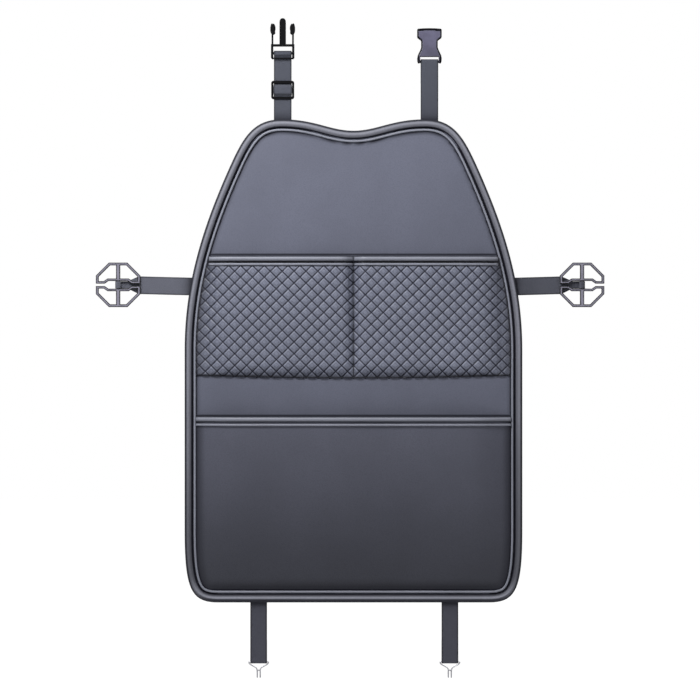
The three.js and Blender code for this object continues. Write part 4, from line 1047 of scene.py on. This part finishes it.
def strap(name, route, axis, middle, width, material, node, edge_at, widths=None, lift=None,
          bars=()):
    """axis x: the route stands upright at x = middle. axis z: it runs out at height lift(i), to the
    side that middle says, 1 or -1. bars: heights where a bar casts painted shade on the webbing,
    and how far."""
    lengths = [0.0]
    for a, b in zip(route, route[1:]):
        lengths.append(lengths[-1] + (b - a).length)
    last, sides = len(route) - 1, len(RIBBON)

    def place(i, point):
        along = (route[min(i + 1, last)] - route[max(i - 1, 0)]).normalized()
        side, out = point[0] * (widths(i) if widths else width), point[1]
        depth, run = route[i].x + along.y * out, route[i].y - along.x * out
        if axis == "x":
            return at(middle + side, depth, run)
        return at(middle * run, depth, lift(i) + side)

    # Painted shade under the bars, and where the strap runs in behind the edge of the body.
    def shade(i, _):
        dark = [0.9 * math.exp(-((route[i].y - bar) / thick) ** 2) for bar, thick in bars]
        return max(dark + [math.exp(-max(abs(route[i].y) - edge_at, 0) / 7)])

    bm = swept(list(range(last + 1)), RIBBON, place, False, shade)
    layer = bm.loops.layers.uv["UVMap"]
    for face in bm.faces:
        for loop in face.loops:
            u, v = loop[layer].uv
            i, j = min(round(u * last), last), round(v * sides) % sides
            loop[layer].uv = (RIBBON[j][0] * width, lengths[i])
    return finished(bm, name, "organizer", "webbing", material, stands_for=[node])


def side_strap(side, anchor_x, painted_light_webbing):
    """Gathered to the width of the anchor's bar, and led to its height."""
    out, edge = abs(anchor_x), reach(SIDE_Z, 0)
    route, narrow = side_route(out), out - GATHERED

    def taper(i):
        share = unit((narrow - route[i].y) / 16)
        return GATHERED_WIDTH + (SIDE_WIDTH - GATHERED_WIDTH) * share

    def lift(i):
        return SIDE_Z + (ANCHOR_Z - SIDE_Z) * unit((route[i].y - edge) / (narrow - edge))

    strap(f"side_{side}_strap", route, "z", math.copysign(1, anchor_x), SIDE_WIDTH, painted_light_webbing,
          f"strap_side_{side}", edge, taper, lift)


left_route = top_left_route()


def bunched(i):
    """The webbing is pushed out against the rails inside the slider."""
    return TOP_WIDTH + 1.5 * math.exp(-((left_route[i].y - SLIDER_Z) / 8) ** 4)


strap("top_left_strap", left_route, "x", TOP_LEFT_X, TOP_WIDTH, top_webbing, "strap_top_left",
      PEAK[1], bunched, bars=[(PLUG_BAR + 2.6, 1.5), (PLUG_BAR - 3.6, 1.7), (SLIDER_Z + 9, 1.6)])
strap("top_right_strap", top_right_route, "x", TOP_RIGHT_X, TOP_WIDTH, top_webbing,
      "strap_top_right", PEAK[1])
for side, x in LOW_X:
    strap(f"low_{side}_strap", low_route, "x", x, LOW_WIDTH, low_webbing, f"strap_bottom_{side}",
          -BOTTOM_Z)
side_strap("left", ANCHOR_LEFT_X, left_webbing)
side_strap("right", ANCHOR_RIGHT_X, right_webbing)

# %% [markdown]
# The fittings are hard, so their imported shapes are right, and a copy of each one is dressed. Real
# mouldings have no knife edges, so sharp edges are bevelled, except on the plug, whose arms are
# too thin for it. The plug's arms end in rounded leaves. The socket's front gets a sunken border of
# painted shade, so it is cut into small cells, and the points near its outline are sunk and shaded.


# %% Helpers for the fittings
def bevelled(bm, edges, width):
    bmesh.ops.bevel(bm, geom=edges, offset=width * MM, offset_type="OFFSET", affect="EDGES",
                    segments=3, profile=0.5, material=-1, clamp_overlap=True)


def front_faces(bm, nearest):
    """The flat faces that look forward and lie before a depth, as y."""
    return [f for f in bm.faces if -f.normal.y > 0.99 and f.calc_center_median().y < nearest]


def leaf_heads(bm):
    """The tips of the plug's side arms swell into rounded leaves, which catch in the socket."""
    for side in (-1, 1):
        made = bmesh.ops.create_circle(bm, cap_ends=True, segments=28, radius=1)["verts"]
        leaf = made[0].link_faces[0]
        for vert in made:
            a, t = vert.co.x, vert.co.y
            x = side * 13.7 + 3.7 * a * abs(a) ** 0.4 - side * 0.8 * t
            vert.co = at(TOP_LEFT_X + x, 6.4, PLUG_BAR + 33.7 + 7.8 * t)
        grown = bmesh.ops.extrude_face_region(bm, geom=[leaf], use_keep_orig=True)["geom"]
        moving = [v for v in grown if isinstance(v, bmesh.types.BMVert)]
        bmesh.ops.translate(bm, verts=moving, vec=(0, 3.6 * MM, 0))
        bevelled(bm, leaf.edges[:], 0.8)


CELL, SUNK = 0.9 * MM, 0.45 * MM


def border(bm, widths, lowest):
    """Sinks and darkens the front along its outline above lowest. widths: at the top, elsewhere."""
    nearest = min(v.co.y for v in bm.verts) + 0.05 * MM
    front = front_faces(bm, nearest)
    known = set(front)
    outline = [[v.co.xz.copy() for v in e.verts] for e in bm.edges
               if len(e.link_faces) == 2 and len(known.intersection(e.link_faces)) == 1]
    outline = [pair for pair in outline if min(pair[0].y, pair[1].y) > lowest]
    top = max(p.y for pair in outline for p in pair)
    for axis in (0, 2):
        places = [v.co[axis] for f in front for v in f.verts]
        place, end = min(places) + CELL, max(places)
        while place < end:
            flat = front_faces(bm, nearest)
            edges = list({e for f in flat for e in f.edges})
            verts = list({v for f in flat for v in f.verts})
            across = Vector((axis == 0, 0, axis == 2))
            bmesh.ops.bisect_plane(bm, geom=verts + edges + flat, dist=1e-6,
                                   plane_co=across * place, plane_no=across)
            place += CELL
    bm.normal_update()
    # The border is painted shade, and so are the tips of the feet, 9 mm below lowest.
    shade = bm.verts.layers.float.new("seam")
    for vert in bm.verts:
        if vert.co.y > nearest or -vert.normal.y < 0.5:
            continue
        vert[shade] = 1.0 if vert.co.z < lowest - 9 * MM else 0.0
        for one, two in outline:
            along = two - one
            part = unit((vert.co.xz - one).dot(along) / max(along.length_squared, 1e-12))
            gap = (vert.co.xz - one - along * part).length
            wide = widths[0 if min(one.y, two.y) > top - 1.5 * MM else 1] * MM
            vert[shade] = max(vert[shade], 1 - step(gap, 0.55 * wide, wide))
        vert.co.y += SUNK * vert[shade]
    bm.normal_update()


print("fitting helpers ready")

# %% [markdown]
# A copy is merged and its flat faces are joined before its edges are rounded. The faces that don't
# look forward, or that carry the border's painted shade, take the darker finish, which paints shade
# on the sides.


# %% Buckles, slider and anchors
def softened(node, name, body, slot, width, finishes, front=0.86, inset=0, ringed=None, more=None):
    """width: of the bevel. finishes: for the front and for the rest. front: how squarely a face of
    the front looks forward. ringed: the border's widths and its lowest point."""
    bm = bmesh.new()
    bm.from_mesh(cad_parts[node].data)
    bmesh.ops.remove_doubles(bm, verts=bm.verts, dist=1e-5)
    bmesh.ops.dissolve_limit(bm, angle_limit=math.radians(1), verts=bm.verts, edges=bm.edges)
    bm.normal_update()
    if inset:
        nearest = min(v.co.y for v in bm.verts) + 0.1 * MM
        bmesh.ops.inset_region(bm, faces=front_faces(bm, nearest), thickness=inset * MM,
                               depth=0.35 * inset * MM, use_even_offset=True, use_boundary=True)
    sharp = [e for e in bm.edges
             if len(e.link_faces) == 2 and e.calc_face_angle(0) > math.radians(35)]
    if width:
        bevelled(bm, sharp, width)
        bmesh.ops.dissolve_degenerate(bm, dist=3e-5, edges=bm.edges)
        bmesh.ops.remove_doubles(bm, verts=bm.verts, dist=3e-5)
    else:
        for e in sharp:
            e.smooth = False
    if more:
        more(bm)
    bmesh.ops.recalc_face_normals(bm, faces=bm.faces)
    bm.normal_update()
    if ringed:
        border(bm, *ringed)
    shade = bm.verts.layers.float.get("seam")
    # Faces turned from the front, and those in the border's painted shade, take the darker finish.
    for f in bm.faces:
        lower_lip = ringed and -f.normal.y > 0.9 and f.normal.z < -0.2
        dark = shade and sum(v[shade] for v in f.verts) > 0.5 * len(f.verts)
        f.material_index = 0 if (-f.normal.y > front or lower_lip) and not dark else 1
    obj = finished(bm, name, body, slot, *finishes, stands_for=[node])
    flat = obj.modifiers.new("flat faces stay flat", "WEIGHTED_NORMAL")
    flat.weight = 100
    flat.keep_sharp = True


blacks = (black_plastic, black_edge)
softened("buckle_plug", "plug_moulding", "plug", "black_plastic", 0, blacks, more=leaf_heads)
softened("strap_slider", "slider_moulding", "organizer", "black_plastic", 0.5, blacks)
softened("buckle_socket", "socket_moulding", "socket", "grey_plastic", 0.6,
         (grey_plastic, grey_edge), 0.9, ringed=((4.2, 2.3), (SOCKET_BAR + 7.0) * MM))
for side in ("left", "right"):
    softened(f"anchor_{side}", f"{side}_anchor_moulding", f"{side}_anchor", "grey_plastic", 0.4,
             (anchor_plastic, anchor_edge), 0.97, inset=1.2)

# %% [markdown]
# A hook is one bent wire. Its ends start inside the strap's loop, it runs out to both sides, comes
# together at a neck and turns up behind. A curve through the bends with a round bevel is the
# usual way to make wire, and it is turned into a mesh at the end.


# %% Wire hooks
WIRE_RADIUS, TURN = 0.9, 4


def hook_half():
    """One side of the wire: along the strap's loop, in to the neck, down, and up behind."""
    d, neck, bottom = BAR_DEPTH, HOOK_BAR - 9.6, HOOK_BAR - 23.1 + WIRE_RADIUS + TURN
    points = [(0.35, d, HOOK_BAR), (6, d, HOOK_BAR), (12.4, d, HOOK_BAR), (13.6, d, HOOK_BAR - 0.4),
              (13.9, d, HOOK_BAR - 1.4), (12.4, d, HOOK_BAR - 3.6), (8, d, HOOK_BAR - 6),
              (3.4, d, neck + 1.2), (2.1, d, neck - 1.4)]
    for k in range(9):
        a = k * math.pi / 8
        points.append((2.1, TURN * math.cos(a), bottom - TURN * math.sin(a)))
    return points + [(2.1, -TURN, bottom + 4.4), (1.3, -TURN, bottom + 5.6)]


def hook(name, x, body, node):
    half = hook_half()
    both = half + [(-a, b, c) for a, b, c in reversed(half)]
    curve = bpy.data.curves.new(name, "CURVE")
    curve.dimensions = "3D"
    curve.bevel_depth = WIRE_RADIUS * MM
    curve.bevel_resolution = 3
    curve.use_fill_caps = True
    spline = curve.splines.new("NURBS")
    spline.points.add(len(both) - 1)
    for point, (a, b, c) in zip(spline.points, both):
        point.co = (*at(x + a, b, c), 1)
    spline.use_endpoint_u = True
    spline.order_u = 3
    curve.resolution_u = 3
    source = in_scene(name + "_line", curve)
    bpy.context.view_layer.update()
    bm = bmesh.new()
    bm.from_mesh(source.to_mesh())
    source.to_mesh_clear()
    bpy.data.objects.remove(source)
    bmesh.ops.remove_doubles(bm, verts=bm.verts, dist=1e-6)
    finished(bm, name, body, "wire", steel_wire, stands_for=[node])


for side, x in LOW_X:
    hook(f"{side}_wire_hook", x, f"{side}_hook", f"hook_{side}")

# %% [markdown]
# The studio is plain: a pale floor, a white surround that gives the camera and reflections their
# white but little light, a large soft light high in front, a weaker one from the right and one
# behind for the back.

# %% Studio
floor_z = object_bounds()[0][2] - 0.001
floor_bm = bmesh.new()
bmesh.ops.create_grid(floor_bm, x_segments=1, y_segments=1, size=6)
bmesh.ops.translate(floor_bm, verts=floor_bm.verts, vec=(0, 0, floor_z))
floor_mesh = bpy.data.meshes.new("floor")
floor_bm.to_mesh(floor_mesh)
floor_bm.free()
floor = in_scene("floor", floor_mesh)
paint = Shader("floor")
pale = paint.node("ShaderNodeBsdfDiffuse", {}, {"Color": (0.9, 0.9, 0.9, 1)})
white = paint.node("ShaderNodeEmission", {}, {"Color": (1, 1, 1, 1), "Strength": 1.1})
ray = paint.node("ShaderNodeLightPath", {}, {}, "Is Camera Ray")
floor_mesh.materials.append(paint.show(paint.node(
    "ShaderNodeMixShader", {}, {0: ray * 0.9, 1: pale, 2: white})))

world = bpy.data.worlds.new("studio")
scene.world = world
world.use_nodes = True
sky = Shader("studio", world.node_tree)
seen = sky.node("ShaderNodeLightPath", {}, {}, "Is Camera Ray")
for name in ("Is Glossy Ray", "Is Transmission Ray"):
    seen = seen.math("MAXIMUM", sky.node("ShaderNodeLightPath", {}, {}, name))
strength = sky.node("ShaderNodeMapRange", {}, {"Value": seen, "To Min": 0.16, "To Max": 1.0})
background = sky.tree.nodes["Background"]
background.inputs["Color"].default_value = (1, 1, 1, 1)
sky.tree.links.new(strength.socket, background.inputs["Strength"])


def lamp(name, place, aim, size, power):
    data = bpy.data.lights.new(name, "AREA")
    data.shape, data.size, data.energy = "DISK", size, power
    light = in_scene(name, data)
    light.location = place
    light.rotation_euler = (Vector(aim) - Vector(place)).to_track_quat("-Z", "Y").to_euler()


lamp("key", (-0.5, -0.9, 0.95), (-0.02, 0, 0.38), 0.6, 17.5)
lamp("fill", (0.9, -1.8, 0.5), (0, 0, 0.1), 1.0, 3)
lamp("back", (0.5, 1.9, 0.9), (0, 0, 0), 1.2, 26)
print("studio ready")
